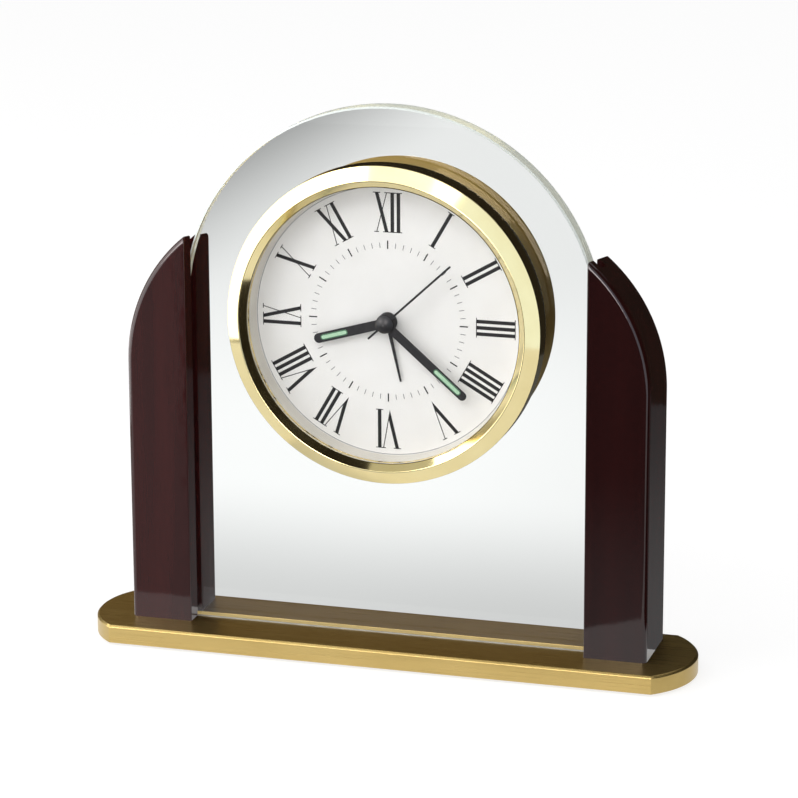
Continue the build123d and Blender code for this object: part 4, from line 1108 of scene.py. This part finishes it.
back_grey = graded("back_floor_grey", 0.03, 0.28, 0.17, 0.07)
front_grey = graded("front_floor_grey", -0.22, -0.05, 0.06, 0.32)
left_grey = glow("left_floor_grey", (0.42, 0.42, 0.42))
accent_grey = glow("accent_card", (0.28, 0.26, 0.2))
floor_cards = {
    "back_floor": (back_grey, lying((-0.5, 0.8), (0.02, 0.28), card_lift)),
    "front_floor": (front_grey, [(x, y, card_lift) for x, y in front_outline]),
    "left_floor": (left_grey, [(x, y, card_lift) for x, y in left_outline]),
    "right_floor": (dark_card, [(x, y, card_lift) for x, y in corner_outline]),
    "left_accent": (accent_grey, lying((-0.3, -0.284), (-0.6, 0.25), card_lift)),
    "bright_floor": (white_wall, lying((-0.9, -0.3), (-0.6, 0.25), card_lift)),
}
for name, (material, corners) in floor_cards.items():
    show_only(stage_card(name, corners, material), in_mirrors=True)

# Grey paper: lies on the floor behind the clock and shows only through the glass.
# It glows pale grey and gives the glass its grey, with painted shade that falls off to the rear, to the
# left corner and to the right.
paper_lift = 0.4 * mm
paper_grey = graded("grey_paper", 0.03, 0.16, 0.69, 1.04)
tree = paper_grey.node_tree
# Falloffs of the glow: painted shade towards the rear, the left corner and the right.
painted_falloffs = [
    ramp(tree, along(tree, "Y"), 0.2, 0.5, 1.0, 0.84),
    ramp(tree, along(tree, "X"), -0.31, -0.19, 0.36, 1.0),
    ramp(tree, along(tree, "X"), -0.05, 0.04, 1.0, 0.93),
]
strength = tree.nodes["Emission"].inputs["Strength"]
for fall in painted_falloffs:
    tree.links.new(worked_out(tree, "MULTIPLY", strength.links[0].from_socket, fall), strength)
grey_paper = stage_card("grey_paper", lying((-0.5, 0.5), (0.03, 0.9), paper_lift), paper_grey)
show_only(grey_paper, in_glass=True)

# Soft boxes: two large lamps, one on the left and one high in front, that point at the clock.
# The camera does not see them, nor do they show through the glass.
lamp_aim = Vector((0, 0, 0.08))


def soft_box(name, place, size, radiance):
    """Rectangular lamp that points at the clock, from its place, size and brightness."""
    lamp = bpy.data.lights.new(name, "AREA")
    lamp.shape = "RECTANGLE"
    lamp.size, lamp.size_y = size
    lamp.energy = radiance * math.pi * size[0] * size[1]
    made = bpy.data.objects.new(name, lamp)
    made.location = place
    made.rotation_euler = (Vector(place) - lamp_aim).to_track_quat("Z", "Y").to_euler()
    made.visible_camera = False
    made.visible_transmission = False
    bpy.context.scene.collection.objects.link(made)


soft_box("left_box", (-0.8, -0.45, 0.52), (0.8, 1.0), radiance=2.4)
soft_box("front_box", (-0.15, -1.05, 1.1), (1.2, 0.7), radiance=2.6)

# Camera: the place, lens and small roll that the edges in the photograph give.
# The focal length is a share of the width of the square picture.
azimuth = math.radians(16.612)
tilt = math.radians(15.298)
roll = math.radians(-0.2294)
camera_target = Vector((0.002204, 0.0, 0.075026))
camera_distance = 0.98703
sensor = 36.0
picture_width = 798
focal_share = 3500.42 / picture_width
back = Vector((math.sin(azimuth) * math.cos(tilt), -math.cos(azimuth) * math.cos(tilt), math.sin(tilt)))
level = Vector((math.cos(azimuth), math.sin(azimuth), 0.0))
upright = back.cross(level)
right = math.cos(roll) * level + math.sin(roll) * upright
up = -math.sin(roll) * level + math.cos(roll) * upright
eye = bpy.data.cameras.new("photograph_view")
eye.sensor_width = sensor
eye.lens = sensor * focal_share
eye.clip_start = 0.05
eye.clip_end = 50
camera = bpy.data.objects.new("photograph_view", eye)
turn = Matrix((right, up, back)).transposed().to_4x4()
camera.matrix_world = Matrix.Translation(camera_target + back * camera_distance) @ turn
bpy.context.scene.collection.objects.link(camera)
bpy.context.scene.camera = camera
bpy.context.scene.view_settings.view_transform = "Standard"
